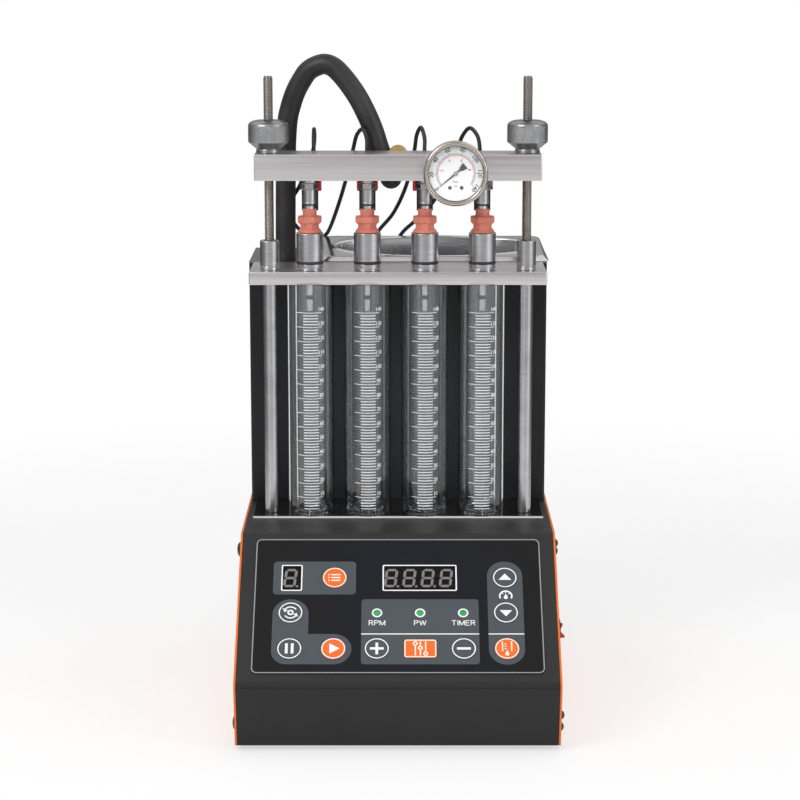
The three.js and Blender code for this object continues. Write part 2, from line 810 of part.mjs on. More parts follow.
// Routes give each point as [x, distance in front of the machine's back, z].
const fromBack = ([x, distance, z]) => [x, backReach - distance, z];
const hoseRoute = [
  [-120.9, 110, 440], [-120.9, 110, 454], [-120.9, 110, 476], [-120.5, 110, 519], [-119.9, 111, 557],
  [-119.2, 112, 583.6], [-117.1, 113.5, 607], [-113.6, 115, 621], [-108.6, 116.5, 635],
  [-101.8, 118.5, 647.5], [-95.1, 120.5, 656.8], [-87.6, 123, 662.9], [-79.5, 125.5, 664.8],
  [-71.1, 128, 660.6], [-61.9, 131, 648.6], [-51.4, 134, 632], [-39.8, 136.5, 612.3],
  [-29.5, 138, 594.2], [-21.6, 139, 578.5], [-13.8, 139.5, 560.7], [-10.4, 139.5, 552.8],
].map(fromBack);
const plugFront = lineY + couplerRadius + gap * 3;
const wireRoutes = [
  [[-92, 164.4, 538], [-92, 159.5, 538.3], [-91.8, 154, 541.5], [-89.6, 150, 553], [-88.6, 147.5, 575.9],
    [-88.9, 143, 588.2], [-88.7, 133, 596.9], [-88.7, 121, 586.4], [-90.6, 115, 573.2],
    [-105.3, 103, 534.7], [-118.1, 85, 511.3], [-115, 63, 491.3], [-108.2, 43, 479.1],
    [-99.6, 20, 468.6], [-99, 7, 460.5], [-99, 7, 454.2], [-99, 7, 438]],
  [[-32, 164.4, 538], [-32, 159.5, 538.3], [-32, 155.4, 541.5], [-32.3, 155, 553], [-32.6, 155, 575.9],
    [-33, 154.4, 589], [-37, 151, 598], [-43, 141, 592], [-47.9, 127, 574], [-57.1, 99, 536.5],
    [-67.9, 63, 501.2], [-78, 23, 471.1], [-85, 8, 461.5], [-86, 7, 454.2], [-86, 7, 438]],
  [[28, 164.4, 538], [28, 159.5, 538.3], [28, 154.5, 541.5], [28, 151, 553], [27.9, 147.5, 575.9],
    [27.9, 143, 588.2], [24.2, 135, 598.6], [20.1, 127, 591.1], [17.5, 119, 573.6], [10.7, 99, 539.7],
    [-4.5, 58, 500.7], [-21.3, 23, 475.6], [-27, 9, 463], [-28, 7, 454.2], [-28, 7, 438]],
  [[88, 164.4, 538], [88, 159.5, 538.3], [87.6, 154.5, 541.5], [86.8, 151, 553], [86.2, 147.5, 575.9],
    [83.6, 143, 590.3], [75.9, 135, 598.1], [68.8, 127, 590.1], [62.7, 119, 573.6], [42, 93, 521.8],
    [21.8, 58, 494.1], [5.4, 21, 470.9], [0, 9, 462], [-1, 7, 454.2], [-1, 7, 438]],
].map((route) => route.map(fromBack));
const wireEnds = wireRoutes.map((route) => route[route.length - 1]);
const hoseCuff = fromBack([-7.5, 139.5, 546.5]);

function topDeck() {
  const z0 = deckHeight - sheetThickness;
  const outline = roundedRectangle(-halfWidth, halfWidth, cabinetFront, backReach, gap);
  let deck = raised(outline, z0, deckHeight, 2);
  const hole = new THREE.Shape();
  const margin = basinWall + gap * 2;
  const halfLong = basinLength / 2 + margin;
  const halfBroad = basinBreadth / 2 + margin;
  hole.absellipse(basinCentreX, basinCentreY, halfLong, halfBroad, 0, Math.PI * 2);
  deck = deck.subtract(raised(hole, z0 - cutOverrun, deckHeight + cutOverrun, basinSides));
  const [hoseX, hoseY] = hoseRoute[0];
  deck = deck.subtract(rod(hoseRadius + gap * 2, hoseX, hoseY, z0 - cutOverrun, deckHeight + cutOverrun));
  wireEnds.forEach(([x, y]) => {
    const hoop = wireRadius + gap * 4;
    deck = deck.subtract(rod(hoop, x, y, z0 - cutOverrun, deckHeight + cutOverrun, smallSides));
  });
  return deck;
}
add('top_deck', topDeck(), deckSteel);

// Bath: a drawn oval basin hanging from a raised tray whose top falls towards the front,
// with two transducers bonded under its floor.
function bathTray(inset, z0, topDrop) {
  const front = cabinetFront + bathFrontInset;
  const back = front + bathDepth;
  const outline = (shrink, radius) => roundedRectangle(
    bathLeft + shrink, bathRight - shrink, front + shrink, back - shrink, radius,
  ).getPoints(3);
  const low = outline(inset, bathCornerRadius);
  const high = outline(inset + bathBevel, bathCornerRadius);
  const topAt = (y) => {
    const share = (y - front) / bathDepth;
    return deckHeight + bathFrontRise + (bathBackRise - bathFrontRise) * share - topDrop;
  };
  const lowCount = low.length - 1;
  const corners = [];
  low.slice(0, lowCount).forEach((p) => corners.push([p.x, p.y, z0]));
  high.slice(0, lowCount).forEach((p) => corners.push([p.x, p.y, topAt(p.y)]));
  const faces = [];
  for (let i = 0; i < lowCount; i += 1) {
    const next = (i + 1) % lowCount;
    faces.push(i, next, lowCount + next, i, lowCount + next, lowCount + i);
  }
  for (let i = 1; i < lowCount - 1; i += 1) {
    faces.push(0, i + 1, i);
    faces.push(lowCount, lowCount + i, lowCount + i + 1);
  }
  const geometry = new THREE.BufferGeometry();
  geometry.setAttribute('position', new THREE.Float32BufferAttribute(corners.flat(), 3));
  geometry.setIndex(faces);
  return solid(geometry);
}

// An oval bowl: ellipses lofted down from the rim and drawn in towards the floor.
function basinSolid(shrink, topZ, floorZ) {
  const levelShares = [[0, 1], [0.8, 0.96], [1, 0.86]];
  const sideCount = basinSides;
  const corners = [];
  levelShares.forEach(([dropShare, sizeShare]) => {
    const z = topZ + (floorZ - topZ) * dropShare;
    for (let i = 0; i < sideCount; i += 1) {
      const angle = (i / sideCount) * Math.PI * 2;
      corners.push([
        basinCentreX + (basinLength / 2 * sizeShare - shrink) * Math.cos(angle),
        basinCentreY + (basinBreadth / 2 * sizeShare - shrink) * Math.sin(angle), z,
      ]);
    }
  });
  const faces = [];
  const last = (levelShares.length - 1) * sideCount;
  for (let i = 0; i < last; i += 1) {
    const next = i % sideCount === sideCount - 1 ? i - sideCount + 1 : i + 1;
    faces.push(i, next + sideCount, next, i, i + sideCount, next + sideCount);
  }
  for (let i = 1; i < sideCount - 1; i += 1) {
    faces.push(0, i, i + 1);
    faces.push(last, last + i + 1, last + i);
  }
  const geometry = new THREE.BufferGeometry();
  geometry.setAttribute('position', new THREE.Float32BufferAttribute(corners.flat(), 3));
  geometry.setIndex(faces);
  return solid(geometry);
}

function bathPan() {
  const z0 = deckHeight + gap;
  const floorZ = deckHeight - basinDrop;
  const high = deckHeight + bathBackRise + cutOverrun;
  const tray = bathTray(0, z0, 0).subtract(bathTray(basinWall, z0 - cutOverrun, basinWall));
  const wall = basinSolid(-basinWall, high, floorZ - basinWall);
  const bowl = wall.intersect(bathTray(-bathBevel, floorZ - cutOverrun * 2, 0));
  let pan = tray.add(bowl).subtract(basinSolid(0, high, floorZ));
  for (const side of Object.values(sides)) {
    const x = basinCentreX + side * transducerSpacing / 2;
    const top = floorZ - basinWall / 2;
    const waist = transducerRadius * 0.72;
    const low = top - transducerHeight;
    const step = transducerHeight * 0.45;
    const profile = [[0, low], [waist, low], [waist, top - step], [transducerRadius, top], [0, top]];
    pan = pan.add(turned(profile, pinSides, x, basinCentreY));
  }
  return pan;
}
add('bath_pan', bathPan(), brightSteel);

// Tube rack: lower plate, columns, clear tubes, and the thick plate over them.
function basePlate() {
  const outline = roundedRectangle(
    -basePlateWidth / 2, basePlateWidth / 2, plateFront, plateBack, bendRadius / 2,
  );
  const plate = raised(outline, ledgeHeight + gap, rackFloor, 2);
  return drillRow(plate, drainHoleRadius, rodRadius, ledgeHeight, rackFloor);
}
add('base_plate', basePlate(), paintedBlack);

function topPlate() {
  const outline = roundedRectangle(-plateWidth / 2, plateWidth / 2, plateFront, plateBack, bendRadius / 3);
  const plate = raised(outline, topPlateBottom, deckHeight, 2);
  return drillRow(plate, spigotRadius + gap, rodRadius + gap, topPlateBottom, deckHeight);
}
add('top_plate', topPlate(), brushedAlloy);

// A column is a shouldered bar: a foot stud through the ledge, a plain shank between the
// plates, and a long threaded end that guides the rail.
function column(side) {
  const studRadius = rodRadius - gap * 2;
  const studLength = basePlateThickness * 4;
  const low = rackFloor + gap;
  const high = topPlateBottom - gap;
  const taper = rodRadius * 0.2;
  const profile = [
    [0, low - studLength], [studRadius, low - studLength], [studRadius, low],
    [columnRadius, low], [columnRadius, high], [rodRadius, high],
    [rodRadius, rodTop - taper], [rodRadius - taper, rodTop], [0, rodTop],
  ];
  return turned(profile, pinSides, side * columnSpacing / 2, lineY);
}

function clampSleeve(side) {
  const bore = rodRadius + gap;
  const low = deckHeight + gap;
  const high = low + sleeveHeight;
  const chamfer = sleeveRadius * 0.06;
  const foot = sleeveHeight * 0.1;
  const groove = sleeveRadius * 0.07;
  const profile = [
    [bore, low], [sleeveRadius, low], [sleeveRadius, low + foot],
    [sleeveRadius - groove, low + foot + groove], [sleeveRadius, low + foot + groove * 2],
    [sleeveRadius, high - chamfer], [sleeveRadius - chamfer, high],
    [bore + chamfer, high], [bore, high - chamfer], [bore, low],
  ];
  return turned(profile, pinSides, side * columnSpacing / 2, lineY);
}

// Knurled clamp nut: collar on the rail, cone, straight grip and a domed top.
function clampNut(side) {
  const bore = rodRadius + gap;
  const low = railTop + gap;
  const collarTop = low + nutCollarHeight;
  const gripLow = collarTop + nutConeHeight;
  const gripHigh = gripLow + nutGripHeight;
  const high = gripHigh + nutDomeHeight;
  const waist = nutCollarRadius * 0.94;
  const edge = nutRadius * 0.03;
  const profile = [
    [bore, low], [nutCollarRadius, low], [nutCollarRadius, collarTop - edge * 2], [waist, collarTop],
    [nutRadius, gripLow + edge], [nutRadius, gripHigh - edge],
    [nutRadius * 0.9, gripHigh + nutDomeHeight * 0.45], [nutRadius * 0.6, high - edge],
    [nutThroatRadius + edge, high], [bore, high - edge * 3], [bore, low],
  ];
  return turned(profile, tubeSides, side * columnSpacing / 2, lineY);
}

for (const [name, side] of Object.entries(sides)) {
  add(`column_${name}`, column(side), brightSteel);
  add(`clamp_sleeve_${name}`, clampSleeve(side), brightSteel);
  add(`clamp_nut_${name}`, clampNut(side), brightSteel);
}

function guardTube(x) {
  const low = rackFloor + gap;
  const high = topPlateBottom - gap;
  const inner = guardRadius - guardWall;
  const profile = [[inner, low], [guardRadius, low], [guardRadius, high], [inner, high], [inner, low]];
  return turned(profile, tubeSides, x, lineY);
}

// Measuring tube: a wide foot, a thick floor with its drain hole, and a plain bore above.
function measuringTube(x) {
  const low = rackFloor + gap;
  const high = topPlateBottom - gap;
  const outer = boreRadius + tubeWall;
  const drain = passageRadius;
  const footTop = low + tubeFootHeight;
  const profile = [
    [drain, low], [tubeFootRadius, low], [tubeFootRadius, low + tubeFootHeight * 0.4], [outer, footTop],
    [outer, high], [boreRadius, high], [boreRadius, low + tubeFloor + tubeWall],
    [drain, low + tubeFloor], [drain, low],
  ];
  return turned(profile, tubeSides, x, lineY);
}

// Injector receiver: a collared socket on the plate, with a spigot through it and a thin
// drip nozzle that reaches down into the measuring tube.
function receiver(x) {
  const base = deckHeight + gap;
  const collar = base + receiverCollarHeight;
  const grooveTop = collar + receiverGroove;
  const top = deckHeight + receiverHeight;
  const waist = receiverRadius - receiverGrooveDepth;
  const chamfer = receiverRadius * 0.05;
  const seat = grooveTop + receiverGroove * 2;
  const nozzleLow = topPlateBottom - nozzleReach;
  const spigotLow = topPlateBottom - gap;
  const profile = [
    [passageRadius, nozzleLow], [nozzleRadius, nozzleLow], [nozzleRadius, spigotLow],
    [spigotRadius, spigotLow], [spigotRadius, base], [receiverRadius, base], [receiverRadius, collar],
    [waist, collar], [waist, grooveTop],
    [receiverRadius, grooveTop], [receiverRadius, top - chamfer], [receiverRadius - chamfer, top],
    [receiverBore, top], [receiverBore, seat], [passageRadius, seat - receiverGroove],
    [passageRadius, nozzleLow],
  ];
  return turned(profile, pinSides, x, lineY);
}

// Injector: nozzle end in the receiver, stepped octagonal body, steel inlet neck, and the
// electrical plug standing behind it.
function injector(x) {
  const rim = deckHeight + receiverHeight + gap;
  const flareRadius = 12.4;
  const flareHeight = 4.6;
  const notchRadius = 9.6;
  const notchHeight = 3.4;
  const flangeRadius = 13.3;
  const flangeHeight = 8.8;
  const collarRadius = 7.3;
  const collarHeight = 7.8;
  const nozzleEnd = rim - receiverHeight * 0.4;
  const notchLow = rim + flareHeight;
  const flangeLow = notchLow + notchHeight;
  const flangeHigh = flangeLow + flangeHeight;
  const collarHigh = flangeHigh + collarHeight;
  const inBore = receiverBore - gap;
  const lower = turned([
    [0, nozzleEnd], [inBore * 0.5, nozzleEnd], [inBore * 0.5, nozzleEnd + flareHeight],
    [inBore, nozzleEnd + flareHeight * 1.6], [inBore, rim], [flareRadius, rim],
    [flareRadius, rim + flareHeight * 0.35], [notchRadius, notchLow], [notchRadius, flangeLow],
    [0, flangeLow],
  ], pinSides, x, lineY);
  const edge = flangeHeight * 0.28;
  const rotated = turned([
    [0, flangeLow - gap], [flangeRadius - edge * 1.4, flangeLow - gap], [flangeRadius, flangeLow + edge],
    [flangeRadius, flangeHigh - edge], [flangeRadius - edge, flangeHigh], [0, flangeHigh],
  ], 8).rotate([0, 0, 22.5]).translate([x, lineY, 0]);
  const upper = turned([
    [0, flangeLow], [collarRadius, flangeLow], [collarRadius, collarHigh],
    [injectorNeckRadius, collarHigh], [injectorNeckRadius, injectorNeckTop], [0, injectorNeckTop],
  ], pinSides, x, lineY);
  const plugBack = plugFront + plugDepth;
  const plugTop = railBottom - gap * 4;
  const plugLow = plugTop - plugHeight;
  const boss = block(x - plugWidth * 0.36, x + plugWidth * 0.36, lineY, plugBack - gap * 3,
    flangeLow + edge, collarHigh - gap);
  const shank = block(x - plugWidth / 2, x + plugWidth / 2, plugFront, plugBack, plugLow,
    plugTop - plugHeadHeight / 2);
  const head = block(x - plugHeadWidth / 2, x + plugHeadWidth / 2, plugFront - gap, plugBack,
    plugTop - plugHeadHeight, plugTop);
  const bridge = block(x - plugWidth * 0.3, x + plugWidth * 0.3, lineY + collarRadius * 0.6,
    plugFront + gap * 4, flangeHigh - gap, collarHigh);
  return lower.add(rotated).add(upper).add(boss).add(bridge).add(shank).add(head);
}

// Coupler: screwed up into the rail, with a hexagon, a plain barrel and a bore for the neck.
function coupler(x) {
  const bore = injectorNeckRadius + gap;
  const hexTop = railBottom - gap - washerHeight;
  const hexLow = hexTop - hexHeight;
  const studTop = railBottom + portDepth * 0.8;
  const washerTop = railBottom - gap;
  const boreTop = injectorNeckTop + gap * 2;
  const nipple = passageRadius * 0.6;
  const body = turned([
    [bore, couplerBottom], [couplerRadius, couplerBottom], [couplerRadius, washerTop],
    [portRadius - gap, washerTop], [portRadius - gap, studTop], [nipple, studTop],
    [nipple, boreTop], [bore, boreTop], [bore, couplerBottom],
  ], pinSides, x, lineY);
  const hexCorner = hexFlats / 2 / Math.cos(Math.PI / 6);
  const hexagon = turned([
    [bore, hexLow], [hexCorner, hexLow], [hexCorner, hexTop], [bore, hexTop], [bore, hexLow],
  ], 6, x, lineY);
  return body.add(hexagon);
}

for (let i = 0; i < tubeCount; i += 1) {
  const x = placeX(i);
  add(`guard_tube_${i + 1}`, guardTube(x), clearTube);
  add(`measuring_tube_${i + 1}`, measuringTube(x), clearTube);
  add(`receiver_${i + 1}`, receiver(x), brightSteel);
  add(`injector_${i + 1}`, injector(x), coral);
  add(`coupler_${i + 1}`, coupler(x), brightSteel);
}

// Rail: a solid bar with chamfered edges, drilled for the rods, couplers, gauge and union.
function rail() {
  const halfLong = railWidth / 2;
  const c = railChamfer;
  const shape = new THREE.Shape();
  shape.moveTo(railFront + c, railBottom);
  shape.lineTo(railBack - c, railBottom);
  shape.lineTo(railBack, railBottom + c);
  shape.lineTo(railBack, railTop - c);
  shape.lineTo(railBack - c, railTop);
  shape.lineTo(railFront + c, railTop);
  shape.lineTo(railFront, railTop - c);
  shape.lineTo(railFront, railBottom + c);
  let bar = acrossWidth(shape, -halfLong, halfLong);
  for (const side of Object.values(sides)) {
    bar = bar.subtract(rod(rodRadius + gap, side * columnSpacing / 2, lineY,
      railBottom - cutOverrun, railTop + cutOverrun));
  }
  for (let i = 0; i < tubeCount; i += 1) {
    bar = bar.subtract(rod(portRadius, placeX(i), lineY, railBottom - cutOverrun, railBottom + portDepth));
  }
  bar = bar.subtract(crossPin(portRadius, gaugeX, gaugeZ, railFront - cutOverrun, railFront + portDepth));
  return bar.subtract(crossPin(portRadius, 0, unionTopZ, railBack - portDepth, railBack + cutOverrun));
}
add('rail', rail(), brushedAlloy);

// Gauge: case with its dial set back in the well, a clear lens, and the needle between.
const gaugeBack = railFront - gaugeStemLength;
const gaugeFace = gaugeBack - gaugeDepth;
const dialPlane = gaugeFace + gaugeWell;

function alongFront(profile, segments) {
  return turned(profile, segments).rotate([90, 0, 0]).translate([gaugeX, gaugeFace, gaugeZ]);
}

function gaugeCase() {
  const depth = (y) => -(y - gaugeFace);
  const back = depth(gaugeBack);
  const caseRadius = gaugeBezelRadius * 0.955;
  const bezelBack = depth(gaugeFace + gaugeWell);
  const lip = gaugeBezelRadius * 0.06;
  const lensSeat = depth(gaugeFace + gaugeWell * 0.35);
  const body = alongFront([
    [0, back], [caseRadius - lip, back], [caseRadius, back + lip], [caseRadius, bezelBack],
    [gaugeBezelRadius, bezelBack + lip * 0.5], [gaugeBezelRadius, -lip],
    [gaugeBezelRadius - lip, 0], [gaugeDialRadius + lip * 0.6, 0], [gaugeDialRadius, lensSeat],
    [gaugeDialRadius, depth(dialPlane)], [0, depth(dialPlane)],
  ], fineSides);
  const threadEnd = railFront + portDepth * 0.7;
  const stem = crossPin(gaugeStemRadius, gaugeX, gaugeZ, gaugeBack - lip, railFront - gap);
  const thread = crossPin(portRadius - gap, gaugeX, gaugeZ, railFront - gap * 2, threadEnd);
  return body.add(stem).add(thread);
}
add('gauge_case', gaugeCase(), dialWhite);

function gaugeLens() {
  const radius = gaugeDialRadius - gap;
  const front = -gaugeWell * 0.35;
  const back = front - lensThickness;
  const profile = [[0, back], [radius, back], [radius, front], [0, front]];
  return alongFront(profile, fineSides);
}
add('gauge_lens', gaugeLens(), clearTube);

function gaugeNeedle() {
  const width = needleThickness;
  const hubRadius = needleReach * 0.11;
  const back = dialPlane - gap;
  const front = back - needleThickness;
  const pointer = new THREE.Shape();
  pointer.moveTo(needleReach, 0);
  pointer.lineTo(0, width);
  pointer.lineTo(-needleTail * 0.5, width);
  pointer.lineTo(-needleTail, needleTail * 0.22);
  pointer.lineTo(-needleTail, -needleTail * 0.22);
  pointer.lineTo(-needleTail * 0.5, -width);
  pointer.lineTo(0, -width);
  const geometry = new THREE.ExtrudeGeometry(pointer, { depth: needleThickness, bevelEnabled: false });
  geometry.rotateZ(THREE.MathUtils.degToRad(needleRestAngle));
  geometry.rotateX(Math.PI / 2);
  geometry.translate(gaugeX, back, gaugeZ);
  return solid(geometry).add(crossPin(hubRadius, gaugeX, gaugeZ, front - width, back));
}
add('gauge_needle', gaugeNeedle(), blackPlastic);

// Hose: from the deck over to the rail's back, where its end is a rounded moulded cuff.
function hoseSolid(margin) {
  const hose = tubeAlong(hoseRoute, hoseRadius + margin, hoseSides, hoseSteps);
  const cuff = new THREE.SphereGeometry(hoseCuffRadius + margin, smallSides, smallSides / 2);
  cuff.translate(...hoseCuff);
  return hose.add(solid(cuff));
}
add('fluid_hose', hoseSolid(0), blackRubber);

// Union: a brass round with its threaded end in the rail, and an arm that meets the cuff.
function hoseUnion() {
  const front = railBack + gap;
  const back = front + unionThickness;
  const armRadius = unionRadius * 0.6;
  const round = crossPin(unionRadius, 0, unionTopZ, front, back, tubeSides);
  const arm = crossPin(armRadius, unionLowX, unionLowZ, front, front + hoseRadius * 2);
  const web = new THREE.Shape();
  web.moveTo(-unionRadius * 0.9, unionTopZ - unionRadius * 0.4);
  web.lineTo(unionLowX - armRadius, unionLowZ);
  web.lineTo(unionLowX + armRadius, unionLowZ);
  web.lineTo(unionRadius * 0.9, unionTopZ - unionRadius * 0.4);
  const plate = new THREE.ExtrudeGeometry(web, { depth: unionThickness, bevelEnabled: false });
  plate.rotateX(Math.PI / 2);
  plate.translate(0, back, 0);
  const thread = crossPin(portRadius - gap, 0, unionTopZ, railBack - portDepth * 0.7, front + gap);
  const beyond = block(
    unionLowX - unionRadius, unionLowX + unionRadius, hoseCuff[1] - hoseRadius / 3,
    hoseCuff[1] + hoseRadius * 2, unionLowZ - unionRadius, unionLowZ + unionRadius,
  );
  const reach = arm.subtract(hoseSolid(gap)).subtract(beyond);
  return round.add(reach).add(solid(plate)).add(thread);
}
add('hose_union', hoseUnion(), brass);

// Harness: four wires from the plugs, over behind the rail and down through the deck, where
// they join one trunk with its plug.
function wiringHarness() {
  const [firstX, glandY] = wireEnds[0];
  const [lastX] = wireEnds[wireEnds.length - 1];
  const plugLength = 14;
  const trunk = tubeAlong(
    [[firstX - trunkRadius, glandY, trunkZ], [lastX + trunkRadius, glandY, trunkZ]],
    trunkRadius, wireSides, 1,
  );
  const plug = block(lastX, lastX + plugLength, glandY - trunkRadius, glandY + trunkRadius,
    trunkZ - trunkRadius * 2, trunkZ + trunkRadius * 2);
  const wires = wireRoutes.map((route) => tubeAlong(route, wireRadius, wireSides, wireSteps));
  return wires.reduce((all, wire) => all.add(wire), trunk.add(plug));
}
add('injector_harness', wiringHarness(), blackRubber);

export default machine;
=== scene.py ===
"""Bench fuel injector cleaner and tester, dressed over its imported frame.

+X is the operator's right, +Y the back, +Z up, and the bench top is at Z = 0. Sizes in the
sections are millimetres, as on a shop drawing; piece() turns them into the frame's metres.
"""
import math

import bmesh
import bpy
import numpy as np
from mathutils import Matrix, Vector


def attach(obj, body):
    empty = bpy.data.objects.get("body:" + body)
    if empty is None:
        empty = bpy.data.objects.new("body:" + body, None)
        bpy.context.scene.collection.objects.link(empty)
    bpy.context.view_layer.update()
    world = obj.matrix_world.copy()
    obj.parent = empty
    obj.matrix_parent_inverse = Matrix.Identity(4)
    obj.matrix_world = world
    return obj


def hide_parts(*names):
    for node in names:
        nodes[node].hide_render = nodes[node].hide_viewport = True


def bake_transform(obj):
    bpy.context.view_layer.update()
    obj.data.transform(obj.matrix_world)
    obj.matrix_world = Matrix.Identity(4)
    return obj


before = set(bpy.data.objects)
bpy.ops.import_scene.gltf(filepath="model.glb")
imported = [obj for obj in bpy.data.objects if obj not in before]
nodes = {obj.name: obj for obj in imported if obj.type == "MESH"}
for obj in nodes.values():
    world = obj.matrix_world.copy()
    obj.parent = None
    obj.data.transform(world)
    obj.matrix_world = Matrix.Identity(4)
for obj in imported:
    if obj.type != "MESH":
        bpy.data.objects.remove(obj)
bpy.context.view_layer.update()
scene = bpy.context.scene

# The studio: the machine stands on a pale sweep before a white wall, seen from just above the
# height of its rail, with one large soft box up to the left and a weaker one to the right.
sight = bpy.data.cameras.new("camera")
sight.lens = 105.58
sight.sensor_width = 36
camera = bpy.data.objects.new("camera", sight)
camera.location = (0.00208, -2.417, 0.78435)
camera.rotation_euler = (math.radians(79.1), 0, 0)
scene.collection.objects.link(camera)
scene.camera = camera
scene.view_settings.view_transform = "Standard"


def applied(operation):
    """An operator on two shader values: one Math node."""
    return lambda self, other: self.recipe.node("Math", {"operation": operation}, {0: self, 1: other})


class Tone:
    """A shader value on its way to a socket; arithmetic on it adds the Math nodes."""
    __add__ = __radd__ = applied("ADD")
    __mul__ = __rmul__ = applied("MULTIPLY")
    __sub__, __truediv__, __pow__ = applied("SUBTRACT"), applied("DIVIDE"), applied("POWER")
    least, most, arctan2 = applied("MINIMUM"), applied("MAXIMUM"), applied("ARCTAN2")

    def __init__(self, recipe, socket):
        self.recipe = recipe
        self.socket = socket

    def __rsub__(self, other):
        return self.recipe.node("Math", {"operation": "SUBTRACT"}, {0: other, 1: self})

    def __abs__(self):
        return self.recipe.node("Math", {"operation": "ABSOLUTE"}, {0: self})

    def ramp(self, low, high):
        """0 up to low, 1 from high on, and a smooth step between."""
        settings = {"interpolation_type": "SMOOTHSTEP", "clamp": True}
        return self.recipe.node("MapRange", settings, {0: self, 1: low, 2: high, 3: 0.0, 4: 1.0})


class Recipe:
    """The node tree of one material, or of the world."""

    def __init__(self, name, store="materials"):
        self.owner = getattr(bpy.data, store).new(name)
        self.owner.use_nodes = True
        self.tree = self.owner.node_tree
        self.tree.nodes.clear()

    def node(self, kind, settings=None, sockets=None, out=0):
        """Adds a node: its settings are set first, then its sockets get values or links."""
        made = self.tree.nodes.new("ShaderNode" + kind)
        for name, value in (settings or {}).items():
            if name == "stops":
                elements = made.color_ramp.elements
                for _ in range(len(value) - len(elements)):
                    elements.new(1.0)
                for element, (place, colour) in zip(elements, value):
                    element.position = place
                    element.color = colour
            else:
                setattr(made, name, value)
        for name, value in (sockets or {}).items():
            if isinstance(value, Tone):
                self.tree.links.new(value.socket, made.inputs[name])
            else:
                made.inputs[name].default_value = value
        return Tone(self, made.outputs[out])

    def place(self):
        return self.node("TexCoord", out="Object")

    def axes(self, vector):
        return [self.node("SeparateXYZ", {}, {0: vector}, out) for out in "XYZ"]

    def noise(self, scale, detail=2.0, stretch=None, **more):
        """Noise over the object; a small number in `stretch` draws it out along that axis."""
        place = self.place()
        if stretch:
            place = self.node("Mapping", {}, {"Vector": place, "Scale": stretch})
        return self.node("TexNoise", {}, {"Vector": place, "Scale": scale, "Detail": detail, **more})

    def blend(self, factor, first, second):
        """first where factor is 0, second where it is 1; hex digits stand for a colour."""
        first, second = (ink(side) if isinstance(side, str) else side for side in (first, second))
        return self.node("Mix", {"data_type": "RGBA"}, {0: factor, 6: first, 7: second}, 2)

    def surface(self, colour, dull, bump=None, **more):
        """The Principled shader. bump is a height, its strength and its distance; `more` names
        other sockets, with _ for their spaces."""
        sockets = {"Base Color": colour, "Roughness": dull}
        sockets.update((name.replace("_", " "), value) for name, value in more.items())
        if bump:
            heights = dict(zip(("Height", "Strength", "Distance"), bump))
            sockets["Normal"] = self.node("Bump", {}, heights)
        return self.node("BsdfPrincipled", {}, sockets)

    def end(self, shader, kind="OutputMaterial"):
        final = self.tree.nodes.new("ShaderNode" + kind)
        self.tree.links.new(shader.socket, final.inputs["Surface"])
        return self.owner


def ink(code):
    """A colour written as six hex digits, as the light values a shader takes."""
    share = np.array([int(code[i:i + 2], 16) for i in (0, 2, 4)]) / 255
    light = np.where(share <= 0.04045, share / 12.92, ((share + 0.055) / 1.055) ** 2.4)
    return (*light.tolist(), 1.0)


def soft_box(name, place, aim, width, height, power):
    lamp = bpy.data.lights.new(name, "AREA")
    lamp.shape = "RECTANGLE"
    lamp.size, lamp.size_y, lamp.energy = width, height, power
    box = bpy.data.objects.new(name, lamp)
    box.location = place
    box.rotation_euler = (Vector(aim) - Vector(place)).to_track_quat("-Z", "Y").to_euler()
    box.visible_glossy = place[2] < 2
    scene.collection.objects.link(box)


soft_box("soft_box_left", (-1.5, -1.6, 1.9), (0, 0, 0.35), 1.0, 1.3, 27)
soft_box("soft_box_right", (1.9, -1.3, 1.2), (0, 0, 0.35), 0.7, 1.6, 13)
soft_box("soft_box_over", (0.2, -0.2, 2.4), (0, 0, 0.3), 1.4, 0.8, 9)

# White to the camera and through glass. Gloss meets a room told by compass: grey behind the
# camera with a lit band to the left, a bright wall to the right, dark corners behind the
# machine, and a ceiling that brightens overhead.
studio = Recipe("studio", "worlds")
scene.world = studio.owner
direction = studio.axes(studio.node("TexCoord", out="Generated"))
compass = direction[0].arctan2(direction[1] * -1) / (2 * math.pi) + 0.5
wall_greys = [(-180, "50"), (-120, "5c"), (-80, "84"), (-55, "a0"), (-40, "e4"), (-22, "e4"), (-8, "c8"),
              (8, "cc"), (22, "c0"), (42, "f4"), (70, "ff"), (85, "a0"), (100, "74"), (150, "60"), (180, "54")]
ceiling_greys = [(0.0, "90"), (0.25, "98"), (0.4, "b0"), (0.6, "f4"), (0.93, "f0"), (0.98, "50"), (1.0, "3c")]
walls = studio.node("ValToRGB", {"stops": [
    ((angle + 180) / 360, ink(grey * 3)) for angle, grey in wall_greys]}, {0: compass})
ceiling = studio.node("ValToRGB", {"stops": [
    (height, ink(grey * 3)) for height, grey in ceiling_greys]}, {0: direction[2]})
round_about = studio.blend(direction[2].ramp(-0.05, 0.12), walls, ceiling)
camera_ray, clear_ray, gloss_ray = [
    studio.node("LightPath", out=f"Is {kind} Ray") for kind in ("Camera", "Transmission", "Glossy")]
ambient, mirrored, wall = [
    studio.node("Background", {}, {"Color": colour, "Strength": strength})
    for colour, strength in ((ink("ffffff"), 0.56), (round_about, 1.0), (ink("ffffff"), 1.0))]
room = studio.node("MixShader", {}, {0: gloss_ray, 1: ambient, 2: mirrored})
seen = studio.node("MixShader", {}, {0: camera_ray.most(clear_ray), 1: room, 2: wall})
studio.end(seen, "OutputWorld")


